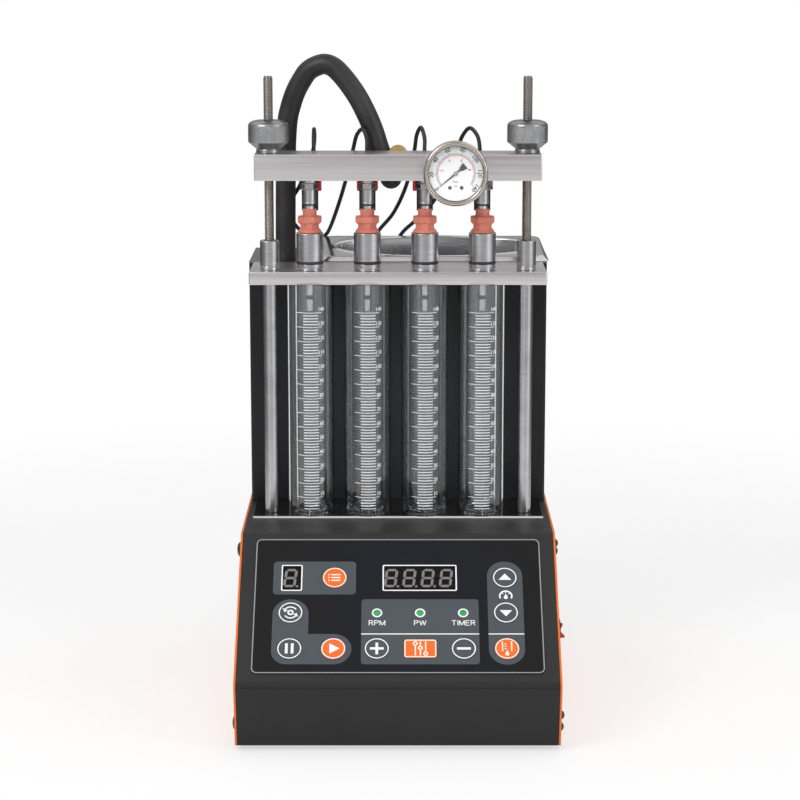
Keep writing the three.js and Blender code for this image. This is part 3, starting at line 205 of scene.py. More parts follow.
def patch(grid, closed=False):
    """A grid of rows x columns of points, each four neighbours joined by a face; closed joins
    the last column to the first."""
    rows, columns = grid.shape[:2]
    i, j = np.arange(rows - 1)[:, None], np.arange(columns if closed else columns - 1)
    corners = [i * columns + j, i * columns + (j + 1) % columns]
    corners += [corner + columns for corner in corners[::-1]]
    return grid.reshape(-1, 3), np.stack(corners, -1).reshape(-1, 4)


def piece(name, patches, material, sharp=32):
    """One object from its patches, in metres: coinciding points merged, faces outwards, and
    shaded smooth except over edges that turn by more than `sharp` degrees."""
    starts = np.cumsum([0] + [len(points) for points, _ in patches[:-1]])
    points = np.concatenate([points for points, _ in patches]) * 0.001
    faces = np.concatenate([quads + start for (_, quads), start in zip(patches, starts)])
    mesh = bpy.data.meshes.new(name)
    mesh.from_pydata(points, [], faces)
    work = bmesh.new()
    work.from_mesh(mesh)
    bmesh.ops.remove_doubles(work, verts=work.verts, dist=2e-7)
    bmesh.ops.recalc_face_normals(work, faces=work.faces)
    work.to_mesh(mesh)
    work.free()
    mesh.shade_smooth()
    mesh.set_sharp_from_angle(angle=math.radians(sharp))
    mesh.materials.append(material)
    made = bpy.data.objects.new(name, mesh)
    scene.collection.objects.link(made)
    return made


sweep = Recipe("pale_sweep")
across, along, _ = sweep.axes(sweep.place())
reach = (across ** 2 + along ** 2) ** 0.5
paper = sweep.surface(sweep.blend(sweep.noise(60, 4) * 0.25, "ffffff", "f4f4f4"), 0.9,
                      Alpha=1 - reach.ramp(1.2, 2.6))
lift_white = sweep.node("Emission", {}, {"Color": ink("ffffff"), "Strength": 1.0})
white_share = sweep.node("LightPath", out="Is Camera Ray") * 0.62
floor_shader = sweep.node("MixShader", {}, {0: white_share, 1: paper, 2: lift_white})
clear = sweep.node("BsdfTransparent")
pale_sweep = sweep.end(sweep.node("MixShader", {}, {0: reach.ramp(0.7, 1.6), 1: floor_shader, 2: clear}))
span = np.linspace(-2800, 2800, 9)
floor_grid = np.stack(np.broadcast_arrays(span[None, :], span[:, None], -0.05), -1)
floor = piece("floor", [patch(floor_grid)], pale_sweep)

# Fluid hose: black reinforced rubber, 22 mm outside. It rises from a grommet in the deck, arches
# forward and comes down behind the rail, where a moulded cuff swallows the union's arm.
def smooth_run(points, per_span=10):
    """Centripetal Catmull-Rom curve through the points: with dt the square root of each span's
    length, each span is the cubic whose ends have the speeds (x1-x0)/dt0 - (x2-x0)/(dt0+dt1)
    + (x2-x1)/dt1. The end points are mirrored to start and finish it."""
    points = np.asarray(points, float)
    full = np.concatenate([2 * points[:1] - points[1:2], points, 2 * points[-1:] - points[-2:-1]])
    x0, x1, x2, x3 = full[:-3], full[1:-2], full[2:-1], full[3:]
    step = [np.sqrt(np.linalg.norm(b - a, axis=1))[:, None] for a, b in ((x0, x1), (x1, x2), (x2, x3))]
    leave = ((x1 - x0) / step[0] - (x2 - x0) / (step[0] + step[1]) + (x2 - x1) / step[1]) * step[1]
    arrive = ((x2 - x1) / step[1] - (x3 - x1) / (step[1] + step[2]) + (x3 - x2) / step[2]) * step[1]
    t = np.linspace(0, 1, per_span, endpoint=False)[None, :, None]
    x1, x2, leave, arrive = (v[:, None, :] for v in (x1, x2, leave, arrive))
    curve = (x1 + leave * t + (3 * (x2 - x1) - 2 * leave - arrive) * t ** 2
             + (2 * (x1 - x2) + leave + arrive) * t ** 3)
    return np.concatenate([curve.reshape(-1, 3), points[-1:]])


def tube(run, radius, upright, columns=24):
    """A round tube along a run of points, with closed ends: centre + radius (side cos a + up
    sin a), where side is upright x direction and up is direction x side."""
    direction = np.gradient(run, axis=0)
    direction /= np.linalg.norm(direction, axis=1)[:, None]
    side = np.cross(np.asarray(upright, float), direction)
    side /= np.linalg.norm(side, axis=1)[:, None]
    up = np.cross(direction, side)
    a = np.linspace(0, 2 * np.pi, columns, endpoint=False)[None, :, None]
    ring = side[:, None, :] * np.cos(a) + up[:, None, :] * np.sin(a)
    radii = np.broadcast_to(np.asarray(radius, float), len(run))[:, None, None]
    body = run[:, None, :] + ring * radii
    ends = [np.broadcast_to(run[k], (1, columns, 3)) for k in (0, -1)]
    return patch(np.concatenate([ends[0], body, ends[1]]), closed=True)


X, Y, Z = np.eye(3)
UP = (X, Y, Z)
FRONT = (X, Z, -Y)


def revolved(radius, height, origin, axes=UP, start=0.0):
    """A row for each height and a column for each step of the turn: origin + r cos a e1 +
    r sin a e2 + h e3."""
    a = np.linspace(0, 2 * np.pi, radius.shape[1], endpoint=False) + start
    e1, e2, e3 = axes
    ring = (radius * np.cos(a))[..., None] * e1 + (radius * np.sin(a))[..., None] * e2
    return ring + height[:, None, None] * e3 + np.asarray(origin, float)


def turn(profile, origin, axes=UP, columns=64, flats=0, start=0.0):
    """Radius and height pairs carried round an axis. With n flats, r is the radius at the
    corners, and falls to r cos(pi/n) between them."""
    r, h = np.asarray(profile, float).T
    share = np.ones(columns)
    if flats:
        a, step = np.linspace(0, 2 * np.pi, columns, endpoint=False), 2 * np.pi / flats
        share = np.cos(step / 2) / np.cos(a % step - step / 2)
    return patch(revolved(r[:, None] * share, h, origin, axes, start), closed=True)


def fit(body, slot, node, *parts):
    """Parts that ride on a body, in place of a CAD node if one is named; slot is not used."""
    for part in parts:
        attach(part, body)
        if node:
            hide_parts(node)


stock = Recipe("hose_rubber")
dust, pores = stock.noise(38, 5), stock.noise(1500)
rubber = stock.end(stock.surface(stock.blend(dust.ramp(0.35, 0.75), "1f1e1f", "333133"),
                                 0.4 + dust * 0.16, (pores, 0.25, 0.0002)))

hose_route = [
    (-120.9, 95, 440), (-120.9, 95, 454), (-120.9, 95, 476), (-120.5, 94.5, 519), (-119.9, 93, 557),
    (-119.2, 91.5, 583.6), (-117.1, 90, 607), (-113.6, 88.5, 621), (-108.6, 86.5, 635),
    (-101.8, 84.5, 647.5), (-95.1, 82.5, 656.8), (-86.5, 80, 662.2), (-77.3, 77.5, 664.5),
    (-68.5, 75.5, 661.7), (-57.2, 72.5, 650.8), (-43.4, 69, 632), (-32.9, 66.5, 612.3),
    (-25.4, 65, 594.2), (-20.4, 64, 578.5), (-13.8, 63.5, 560.7), (-10.4, 63.5, 552.8),
]
hose_run = smooth_run(hose_route)
hose = piece("hose", [tube(hose_run, 10.8, (0, 1, 0), 40)], rubber)
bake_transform(hose)

polar = np.linspace(0, np.pi, 25)
cuff_profile = np.stack([11.6 * np.sin(polar), 546 + 11.6 * np.cos(polar)], -1)
cuff = piece("hose_cuff", [turn(cuff_profile, (-7.5, 63.5, 0), columns=40)], rubber)
fit("lift", "hose_rubber", None, cuff)
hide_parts("fluid_hose")

# Injector wiring: four black 4 mm leads. Each leaves its plug's top, loops up behind the rail
# and falls back through a small grommet in the deck, where all four join one trunk.
stock = Recipe("wire_sleeving")
braid = stock.noise(900, 3)
sleeving = stock.end(stock.surface(stock.blend(braid, "151516", "2c2c2e"), 0.42 + braid * 0.2,
                                   (braid, 0.3, 0.0002)))
wire_routes = [
    [(-92, 38.6, 538), (-92, 43.5, 538.3), (-91.8, 49, 541.5), (-89.6, 53, 553), (-88.6, 55.5, 575.9),
     (-88.9, 60, 588.2), (-88.7, 70, 596.9), (-88.7, 82, 586.4), (-90.6, 88, 573.2),
     (-105.3, 100, 534.7), (-118.1, 118, 511.3), (-115, 140, 491.3), (-108.2, 160, 479.1),
     (-99.6, 183, 468.6), (-99, 196, 460.5), (-99, 196, 454.2), (-99, 196, 438)],
    [(-32, 38.6, 538), (-32, 43.5, 538.3), (-32, 47.6, 541.5), (-32.3, 48, 553), (-32.6, 48, 575.9),
     (-33, 48.6, 589), (-37, 52, 598), (-43, 62, 592), (-47.9, 76, 574), (-57.1, 104, 536.5),
     (-67.9, 140, 501.2), (-78, 180, 474.6), (-84, 194, 465.5), (-86, 196, 454.2), (-86, 196, 438)],
    [(28, 38.6, 538), (28, 43.5, 538.3), (28, 48.5, 541.5), (28, 52, 553), (27.9, 55.5, 575.9),
     (27.9, 60, 588.2), (24.2, 68, 598.6), (20.1, 76, 591.1), (17.5, 84, 573.6), (10.7, 104, 539.7),
     (-4.5, 145, 500.7), (-21.3, 180, 476.4), (-26.6, 194, 466), (-28, 196, 454.2), (-28, 196, 438)],
    [(88, 38.6, 538), (88, 43.5, 538.3), (87.6, 48.5, 541.5), (86.8, 52, 553), (86.2, 55.5, 575.9),
     (83.6, 60, 590.3), (75.9, 68, 598.1), (68.8, 76, 590.1), (62.7, 84, 573.6), (42, 110, 521.8),
     (21.8, 145, 494.1), (5.4, 182, 474.4), (0.4, 194, 465), (-1, 196, 454.2), (-1, 196, 438)],
]
for number, route in enumerate(wire_routes, 1):
    run = smooth_run(route, 12)
    wire = piece(f"injector_wire_{number}", [tube(run, 2.1, (1, 0, 0), 14)], sleeving)
    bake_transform(wire)
    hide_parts("injector_harness")
trunk_run = np.stack([np.linspace(-101.6, 6, 12), np.full(12, 196.0), np.full(12, 438.0)], -1)
trunk = piece("wire_trunk", [tube(trunk_run, 2.6, (0, 0, 1), 16)], sleeving)
fit("base", "hose_rubber", "injector_harness", trunk)

# Base box and cabinet: folded steel sheet, powder coated. The console is a warm charcoal, the
# cabinet and floor pan black, and the two flat side plates that close the box orange.
def powder(name, low, high, dull, painted_shade=None):
    """Powder coat: a fine orange-peel bump, cloudy by a few per cent, a little duller on the
    crests of its grain. `painted_shade` may darken the colour by place, as painted shade."""
    coat = Recipe(name)
    cloud, peel, speck = coat.noise(11, 3), coat.noise(820), coat.noise(2600, 1)
    colour = coat.blend((cloud * 0.6 + speck * 0.4).ramp(0.3, 0.7), low, high)
    return coat.end(coat.surface(painted_shade(coat, colour) if painted_shade else colour,
                                 dull + peel * 0.14 - cloud * 0.05, (peel, 0.3, 0.00012),
                                 Specular_IOR_Level=0.3))


def folded(coat, colour):
    """Painted shade: the console's front is painted darker than its slope, and a dark line is painted under the
    fold at 69 mm.
    """
    _, _, z = coat.axes(coat.place())
    front_shade = 1 - z.ramp(0.0745, 0.0757)
    crease_shade = 1 - abs(z - 0.0692).ramp(0.0005, 0.0015)
    return coat.blend((front_shade * 0.36).most(crease_shade * 0.8), colour, "0a0a0a")


def dress(material, slot, *names):
    """CAD nodes that stay as they are get their material."""
    for name in names:
        for place in nodes[name].material_slots:
            place.material = material


# The console's charcoal carries painted shade on its front and under its fold.
charcoal = powder("console_charcoal", "292829", "313030", 0.42, folded)
cabinet_black = powder("cabinet_black", "17181a", "202022", 0.36)
plate_orange = powder("plate_orange", "dd6a24", "ea7a30", 0.34)
dress(charcoal, "console_paint", "console_shell")
dress(plate_orange, "side_paint", "side_plate_left", "side_plate_right")
dress(cabinet_black, "black_paint", "cabinet_shell", "rear_cover", "floor_pan")

# Deck: a grey rolled sheet over the cabinet, under the bath, the hose and the wires.
def brushed(name, low, high, dull, stretch, grain=0.00003):
    """Metal with fine parallel scratches: noise drawn out along the axis whose number in
    `stretch` is small. Scratches and longer streaks change its tone; scratches and smudges
    its gloss."""
    metal = Recipe(name)
    scratch, streak = metal.noise(1, 4, stretch), metal.noise(1, 3, [s * 0.22 for s in stretch])
    tone = (scratch * 0.55 + streak * 0.45).ramp(0.32, 0.68)
    return metal.end(metal.surface(metal.blend(tone, low, high),
                                   dull + scratch * 0.16 + metal.noise(17) * 0.08,
                                   (scratch, 0.35, grain), Metallic=1.0))


deck_grey = brushed("deck_grey", "77767a", "8c8b8e", 0.34, (6, 420, 420))
dress(deck_grey, "deck", "top_deck")

# Fluid system and electronics in the base: a blow-moulded tank, a cast pump and the boxed
# supply, whose inlet stands in the rear cover. None is seen from the front.
def moulded(name, low, high, dull, scale=700.0, depth=0.00008):
    """Moulded plastic: spark-eroded grain, faint flow clouds."""
    plastic = Recipe(name)
    grain, flow = plastic.noise(scale, 3), plastic.noise(26, Distortion=1.2)
    colour = plastic.blend((grain * 0.4 + flow * 0.6).ramp(0.3, 0.7), low, high)
    return plastic.end(plastic.surface(colour, dull + grain * 0.16, (grain, 0.3, depth)))


black_plastic = moulded("black_plastic", "161718", "212223", 0.34)
dress(moulded("tank_white", "d2d2cb", "dedfd8", 0.4), "tank", "fluid_tank")
dress(brushed("pump_zinc", "8e9193", "a5a7a9", 0.36, (300, 300, 300), 0.0001), "pump_metal", "fluid_pump")
dress(black_plastic, "black_plastic", "power_supply", "switch_body")

# Power switch: a red rocker in a black snap-in frame, dished on its face.
def rocker_grid():
    """Face depth over the length s and width w: 5.2 - 3.4 (1 - s^2)^1.4, rounded off towards
    the sides and ends, on a skirt that goes back to the pivot."""
    s = np.linspace(-1, 1, 33)[:, None]
    w = np.linspace(-1, 1, 17)[None, :]
    face = 5.2 - 3.4 * (1 - s ** 2) ** 1.4 - 0.7 * np.abs(w) ** 6 - 0.5 * np.abs(s) ** 14
    rows, columns = s + 0 * w, w + 0 * s
    top = np.stack([face, columns * 3.85, rows * 6.8], -1)
    rim = np.concatenate([top[0], top[1:, -1], top[-1, -2::-1], top[-2:0:-1, 0]])
    foot = rim * [0, 0.96, 0.86] - [4.6, 0, 0]
    centre = np.broadcast_to(foot.mean(0), foot.shape)
    return top, np.stack([rim, foot, centre])


rocker_lean = math.radians(-10)
rocker_pivot = (162.9, -130.0, 106.0)


def tilted(grid):
    """Turned about the rocker's axis by its lean, then moved to its pivot."""
    cos, sin = math.cos(rocker_lean), math.sin(rocker_lean)
    x, y, z = np.moveaxis(grid, -1, 0)
    return np.stack([x * cos + z * sin, y, z * cos - x * sin], -1) + rocker_pivot


rocker_face, rocker_skirt = rocker_grid()
rocker_red = moulded("rocker_red", "b0201a", "c42a22", 0.22)
rocker = piece("rocker_cap", [patch(tilted(rocker_face)), patch(tilted(rocker_skirt), closed=True)],
               rocker_red, 40)
fit("rocker", "rocker", "power_rocker", rocker)

# Side plate screws: domed black heads in washers, large on the left and small on the right.
screw_black = moulded("screw_black", "1c1c1d", "2a2a2c", 0.24)
for number, (side, y, z, size) in enumerate([
        (-1, -69.3, 175.3, 7.6), (-1, -169.9, 22.6, 7.6), (1, -58.7, 179.3, 4.4), (1, -56, 170.3, 4.4),
        (1, -184.3, 35.4, 4.4), (1, -177.1, 21.0, 4.4)], 1):
    t = np.linspace(0, np.pi / 2, 9)
    dome = np.concatenate([[(0, -0.2), (size + 0.9, -0.2), (size + 0.9, 0.5), (size, 0.7)],
                           np.stack([size * np.cos(t), 0.7 + 3.3 * np.sin(t)], -1)])
    head = turn(dome, (side * 161.8, y, z), (Y, Z, side * X), 40)
    fit("base", "black_plastic", None, piece(f"side_screw_{number}", [head], screw_black, 40))

# Tube rack: a thick brushed alloy plate and a thin black one, held apart by two stainless
# columns that are shouldered down to M10 studs over the plate.
def eased(profile, radius, steps=4, closed=False):
    """A profile whose corners are rounded. Each corner C, with A and B the points `radius`
    before and after it, becomes (1-t)^2 A + 2t(1-t) C + t^2 B, between two holding points."""
    corner = np.asarray(profile, float)
    before, after = np.roll(corner, 1, 0), np.roll(corner, -1, 0)
    if not closed:
        before[0], after[-1] = corner[0], corner[-1]
    into, out = before - corner, after - corner
    lengths = [np.maximum(np.linalg.norm(v, axis=1), 1e-9)[:, None] for v in (into, out)]
    wanted = np.broadcast_to(radius, len(corner))[:, None]
    reach = [np.minimum(wanted, length * 0.45) for length in lengths]
    if not closed:
        for near in reach:
            near[[0, -1]] = 0
    a, b = corner + into / lengths[0] * reach[0], corner + out / lengths[1] * reach[1]
    held = [corner + (a - corner) * 1.08, corner + (b - corner) * 1.08]
    t = np.linspace(0, 1, steps + 1)[None, :, None]
    curve = (1 - t) ** 2 * a[:, None] + 2 * t * (1 - t) * corner[:, None] + t ** 2 * b[:, None]
    run = np.concatenate([held[0][:, None], curve, held[1][:, None]], 1).reshape(-1, 2)
    keep = np.concatenate([[True], np.linalg.norm(np.diff(run, axis=0), axis=1) > 1e-6])
    run = run[keep]
    return np.concatenate([run, run[:1]]) if closed else run


def slab(x0, x1, y0, y1, z0, z1, corner, edge, steps=4):
    """A plate with rounded corners and eased edges: rings of a rounded rectangle, drawn in by
    edge (1 - cos t) as the height turns through edge (1 - sin t), closed to its middle."""
    t = np.linspace(0, np.pi / 2, steps + 1)
    inset = np.concatenate([edge * (1 - np.sin(t)), edge * (1 - np.cos(t))])
    height = np.concatenate([z0 + edge * (1 - np.cos(t)), z1 - edge * (1 - np.sin(t))])
    inset = np.concatenate([[edge * 1.3], inset, [edge * 1.3]])[:, None]
    height = np.concatenate([[z0], height, [z1]])[:, None]
    quarter = np.linspace(0, np.pi / 2, 7)[None, :]
    round_ = np.maximum(corner - inset, edge * 0.05)
    middle = np.array([(x0 + x1) / 2, (y0 + y1) / 2])
    half = [(x1 - x0) / 2 - inset - round_, (y1 - y0) / 2 - inset - round_]
    rings = []
    for sx, sy, a in ((1, 1, 0), (-1, 1, 1), (-1, -1, 2), (1, -1, 3)):
        angle = quarter + a * np.pi / 2
        rings.append(np.stack([middle[0] + sx * half[0] + round_ * np.cos(angle),
                               middle[1] + sy * half[1] + round_ * np.sin(angle),
                               height + 0 * angle], -1))
    grid = np.concatenate(rings, 1)
    caps = [np.broadcast_to([*middle, z], (1, grid.shape[1], 3)) for z in (z0, z1)]
    return patch(np.concatenate([caps[0], grid, caps[1]]), closed=True)


def turned_steel(name, low, high, dull):
    """Lathe-turned metal: faint rings up the axis, a cloudy gloss from handling."""
    metal = Recipe(name)
    ring, cloud = metal.noise(1, 2, (60, 60, 2200)), metal.noise(45, 3)
    return metal.end(metal.surface(metal.blend((ring * 0.5 + cloud * 0.5).ramp(0.3, 0.7), low, high),
                                   dull + ring * 0.12 + cloud * 0.06, (ring, 0.25, 0.00004),
                                   Metallic=1.0))


bright_steel = turned_steel("bright_steel", "b2b1b3", "c9c8ca", 0.14)
satin_steel = turned_steel("satin_steel", "a5a4a6", "b9b8ba", 0.26)
thread_steel = turned_steel("thread_steel", "85807b", "9a958f", 0.3)
plate_alloy = brushed("plate_alloy", "dad5d6", "efebec", 0.2, (5, 620, 620), 0.00002)

top_plate = piece("upper_plate", [slab(-155, 155, -2, 81, 440.8, 454.2, 1.6, 0.8)], plate_alloy)
fit("base", "brushed_alloy", "top_plate", top_plate)

# Lower plate: 2.7 mm steel with a black glaze, its edges painted near white as a painted
# highlight. The columns' heels pass through it.
stock = Recipe("lower_plate_glaze_and_edge_highlight")
# Painted highlight: the upright edges take a near-white colour, while the top stays black and glossier.
top_not_edge_highlight = stock.axes(stock.node("NewGeometry", out="Normal"))[2].ramp(0.25, 0.5)
glaze_and_edge_highlight = stock.end(stock.surface(stock.blend(top_not_edge_highlight, "f2f2f3", "161617"),
                                      0.5 - top_not_edge_highlight * 0.34 + stock.noise(70, 3) * 0.1))
lower_plate = piece("lower_plate", [slab(-153.7, 153.7, -2, 81, 191.6, 194.3, 1.6, 0.5)], glaze_and_edge_highlight)
fit("base", "black_paint", "base_plate", lower_plate)

# Columns and clamp sleeves: the studs have an M10 thread, whose radius is 5 - 0.55 times a
# triangle wave of height / pitch less the turn; a turned spacer with one groove sits on each.
line_y, column_x, pitch = 18.0, 134.0, 1.5
shank_profile = eased([(0, 194.6), (7.25, 194.6), (7.25, 440.5), (0, 440.5)], 0.5)
heel_profile = eased([(0, 184), (4.4, 184), (4.4, 194.7), (0, 194.7)], 0.4)
sleeve_profile = eased([(5.3, 454.5), (10.1, 454.5), (10.1, 457.6), (9.4, 458.2), (10.1, 458.9),
                        (10.1, 484.6), (9.3, 485.4), (5.5, 485.4), (5.3, 454.5)], 0.35)
thread_z = np.append(np.arange(440, 654.2, pitch / 6), [655.2, 655.2])
wave = np.abs((thread_z[:, None] / pitch - np.linspace(0, 1, 28, endpoint=False)) % 1 - 0.5) * 2
fade = np.clip((654.4 - thread_z[:, None]) / 1.4, 0, 1) ** 0.5
thread = (5 - 0.55 * wave) * (0.8 + 0.2 * fade)
thread[-2:] = [[3.9], [0]]
for side, name in ((-1, "left"), (1, "right")):
    at = (side * column_x, line_y, 0)
    column = piece(f"column_{name}_shank", [turn(shank_profile, at, columns=48),
                                            turn(heel_profile, at, columns=32)], bright_steel)
    stud = piece(f"column_{name}_stud", [patch(revolved(thread, thread_z, at), closed=True)],
                 thread_steel, 50)
    sleeve = piece(f"sleeve_{name}", [turn(sleeve_profile, at, columns=56)], bright_steel, 38)
    fit("base", "stainless", f"column_{name}", column, stud)
    fit("base", "bright_steel", f"clamp_sleeve_{name}", sleeve)

# Tubes: four clear acrylic guards round four graduated borosilicate measuring tubes, each
# stood on a spread foot with a drain hole, under its drip nozzle.
def clear_stock(name, colour, bend, dull):
    """Clear wall, faintly wiped; lamplight goes straight through it."""
    glass = Recipe(name)
    wipe = glass.noise(30, 3)
    wall = glass.surface(glass.blend(wipe, colour, "ffffff"), dull + wipe * 0.02, IOR=bend,
                         Transmission_Weight=1.0, Specular_IOR_Level=0.32)
    shadow, clear = glass.node("LightPath", out="Is Shadow Ray"), glass.node("BsdfTransparent")
    return glass.end(glass.node("MixShader", {}, {0: shadow, 1: wall, 2: clear}))


guard_acrylic = clear_stock("guard_acrylic", "f2f5f6", 1.49, 0.02)
tube_glass = clear_stock("tube_glass", "f4f7f8", 1.47, 0.0)
tube_places = [-92.0, -32.0, 28.0, 88.0]

# Scale print: white ceramic ink fired on the glass, a long line at each 10 ml, four short
# ones between, and the figure over each long line.
stock = Recipe("scale_print")
chalk = stock.noise(1800)
print_white = stock.end(stock.surface(stock.blend(chalk, "e4e6e6", "f7f8f8"), 0.5 + chalk * 0.2))


def round_print(x, z, low, high, height, radius=16.42, columns=14):
    """Bars printed round a tube: angle from `low` to `high` degrees off its front, at each
    height in z, as radius (sin a, -cos a)."""
    z = np.asarray(z, float)[:, None, None]
    a = np.radians(np.linspace(low, high, columns))[None, None, :]
    edge = np.array([-0.5, 0.5])[None, :, None] * height
    grid = np.stack(np.broadcast_arrays(x + radius * np.sin(a), line_y - radius * np.cos(a), z + edge), -1)
    return [patch(bar) for bar in grid]


def settled(name, curve, place, material, body):
    """A flat curve as a mesh: `place` takes its x, y and z, in millimetres, to points in the
    frame."""
    draft = bpy.data.objects.new(name, curve)
    scene.collection.objects.link(draft)
    mesh = bpy.data.meshes.new_from_object(draft.evaluated_get(bpy.context.evaluated_depsgraph_get()))
    bpy.data.objects.remove(draft)
    flat = np.empty(len(mesh.vertices) * 3)
    mesh.vertices.foreach_get("co", flat)
    flat = flat.reshape(-1, 3)
    mesh.vertices.foreach_set("co", (place(*flat.T) * 0.001).ravel())
    mesh.materials.clear()
    mesh.materials.append(material)
    made = bpy.data.objects.new(name, mesh)
    scene.collection.objects.link(made)
    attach(made, body)
    return made


def lettering(name, lines, size, material, place, body, line_step=1.0, bold=0.0):
    """Plain figures or words, centred."""
    curve = bpy.data.curves.new(name, "FONT")
    curve.body, curve.size, curve.align_x, curve.align_y = lines, size, "CENTER", "CENTER"
    curve.space_line, curve.offset = line_step, bold
    curve.resolution_u = 3
    return settled(name, curve, place, material, body)


def on_tube(x, angle, z0):
    def place(u, v, _):
        a = u / 16.45 + math.radians(angle)
        return np.stack([x + 16.45 * np.sin(a), line_y - 16.45 * np.cos(a), z0 + v], -1)
    return place


zero_z, ten_ml = 198.3, 15.186
ml_10 = zero_z + ten_ml * np.arange(1, 15)
ml_2 = (zero_z + ten_ml * np.arange(0, 14)[:, None] + ten_ml / 5 * np.arange(1, 5)).ravel()
guard_wall = eased([(22.5, 194.6), (25, 194.6), (25, 440.5), (22.5, 440.5)], 0.3, 3, True)
vial_wall = eased([(2.2, 194.6), (19, 194.6), (19, 196.4), (16.3, 198.6), (16.3, 440.5),
                   (14.5, 440.5), (14.5, 201.4), (2.2, 199.6)], 0.45, 3, True)
for number, x in enumerate(tube_places, 1):
    at = (x, line_y, 0)
    guard = piece(f"guard_{number}", [turn(guard_wall, at, columns=96)], guard_acrylic, 40)
    vial = piece(f"vial_{number}", [turn(vial_wall, at, columns=96)], tube_glass, 40)
    scale = piece(f"scale_{number}", round_print(x, ml_10, -54, 48, 0.6)
                  + round_print(x, ml_2, -25, 31, 0.9), print_white)
    lettering(f"figures_{number}", "\n".join(str(10 * k) for k in range(14, 0, -1)), 6.0, print_white,
              on_tube(x, 45, ml_10.mean() + 3.4), "base", ten_ml / 6.0, bold=0.08)
    fit("base", "clear_tube", f"guard_tube_{number}", guard)
    fit("base", "clear_tube", f"measuring_tube_{number}", vial)
    fit("base", "clear_tube", None, scale)

# Injector places: four turned stainless receivers are pressed into the upper plate. Each has
# an O-ring in its waist, an undercut foot and a thin drip nozzle over its measuring tube.
def seal(name, at, ring, z, thick):
    """An O-ring: the circle (ring + thick cos t, z + thick sin t) turned about the axis."""
    t = np.linspace(0, 2 * np.pi, 17)
    circle = np.stack([ring + thick * np.cos(t), z + thick * np.sin(t)], -1)
    return piece(name, [turn(circle, at, columns=56)], rubber, 80)


receiver_profile = eased([
    (2.2, 411.2), (4, 411.2), (4, 440.5), (7.7, 440.5), (7.7, 454.5), (13.5, 454.5), (13.5, 456.1),
    (14.2, 456.6), (14.2, 461), (12.8, 461), (12.8, 464), (14.2, 464), (14.2, 492.7), (13.5, 493.4),
    (11.6, 493.4), (11.6, 470), (2.2, 467)], 0.3, 3, True)
nozzle_profile = [(3.9, 423.3), (4.5, 423.6), (4.5, 425.3), (4.15, 425.6), (4.5, 425.9), (4.5, 427.6),
                  (3.9, 428)]
for number, x in enumerate(tube_places, 1):
    at = (x, line_y, 0)
    receiver = piece(f"receiver_{number}_body", [turn(receiver_profile, at, columns=72)], bright_steel, 38)
    ring = seal(f"receiver_{number}_seal", at, 13.0, 462.5, 1.45)
    nozzle_ring = piece(f"receiver_{number}_nozzle_ring", [turn(nozzle_profile, at, columns=32)], rubber)
    fit("base", "stainless", f"receiver_{number}", receiver)
    fit("base", "hose_rubber", f"receiver_{number}", ring, nozzle_ring)

# Injectors under test: coral moulded bodies with a seat flare, a keyed waist, an octagonal
# block and a collar, over a steel neck that an O-ring seals in the coupler.
coral = moulded("injector_coral", "cd7462", "e28c79", 0.4, 620.0, 0.00025)
seat_profile = eased([(0, 478), (5.65, 478), (5.65, 482.6), (11.3, 485.4), (11.3, 493.7), (12.4, 493.7),
                      (12.4, 495.3), (9.6, 498.3), (9.6, 502.2), (0, 502.2)], 0.4, 3)
block_profile = eased([(0, 501.4), (9.85, 501.4), (10.9, 502.6), (13.2, 504.6), (13.3, 509.6),
                       (12.6, 510.5), (0, 510.5)], 0.2, 3)
collar_profile = eased([(0, 505), (7.3, 505), (7.3, 518.3), (0, 518.3)], 0.5, 3)
neck_profile = eased([(0, 510), (5.3, 510), (5.3, 533), (0, 533)], 0.4, 3)
neck_steel = turned_steel("neck_steel", "c4c3c4", "dddcdd", 0.2)
plug_black = moulded("plug_black", "121213", "1d1d1f", 0.28)
red_lock = (536, 549, moulded("lock_red", "c01d26", "dd3038", 0.16))
grey_lock = (541, 547.4, moulded("lock_grey", "8f9092", "a6a7a9", 0.3))
# The secondary locks as the four plugs show them: inner and outer edge from the coupler's axis,
# then the lock's foot, top and plastic.
lock_bars = [[(7.9, 12.2, *red_lock)], [(-10.6, -7.3, *red_lock), (7.3, 10.4, *red_lock)],
             [(-12.8, -8.6, *red_lock)], [(6.2, 10.6, *grey_lock)]]


def block(x, box, corner=1.2, edge=0.5):
    """A moulded block at a place: (x0, x1, y0, y1, z0, z1), x and y from the place's axis."""
    x0, x1, y0, y1, z0, z1 = box
    return slab(x + x0, x + x1, line_y + y0, line_y + y1, z0, z1, corner, edge)


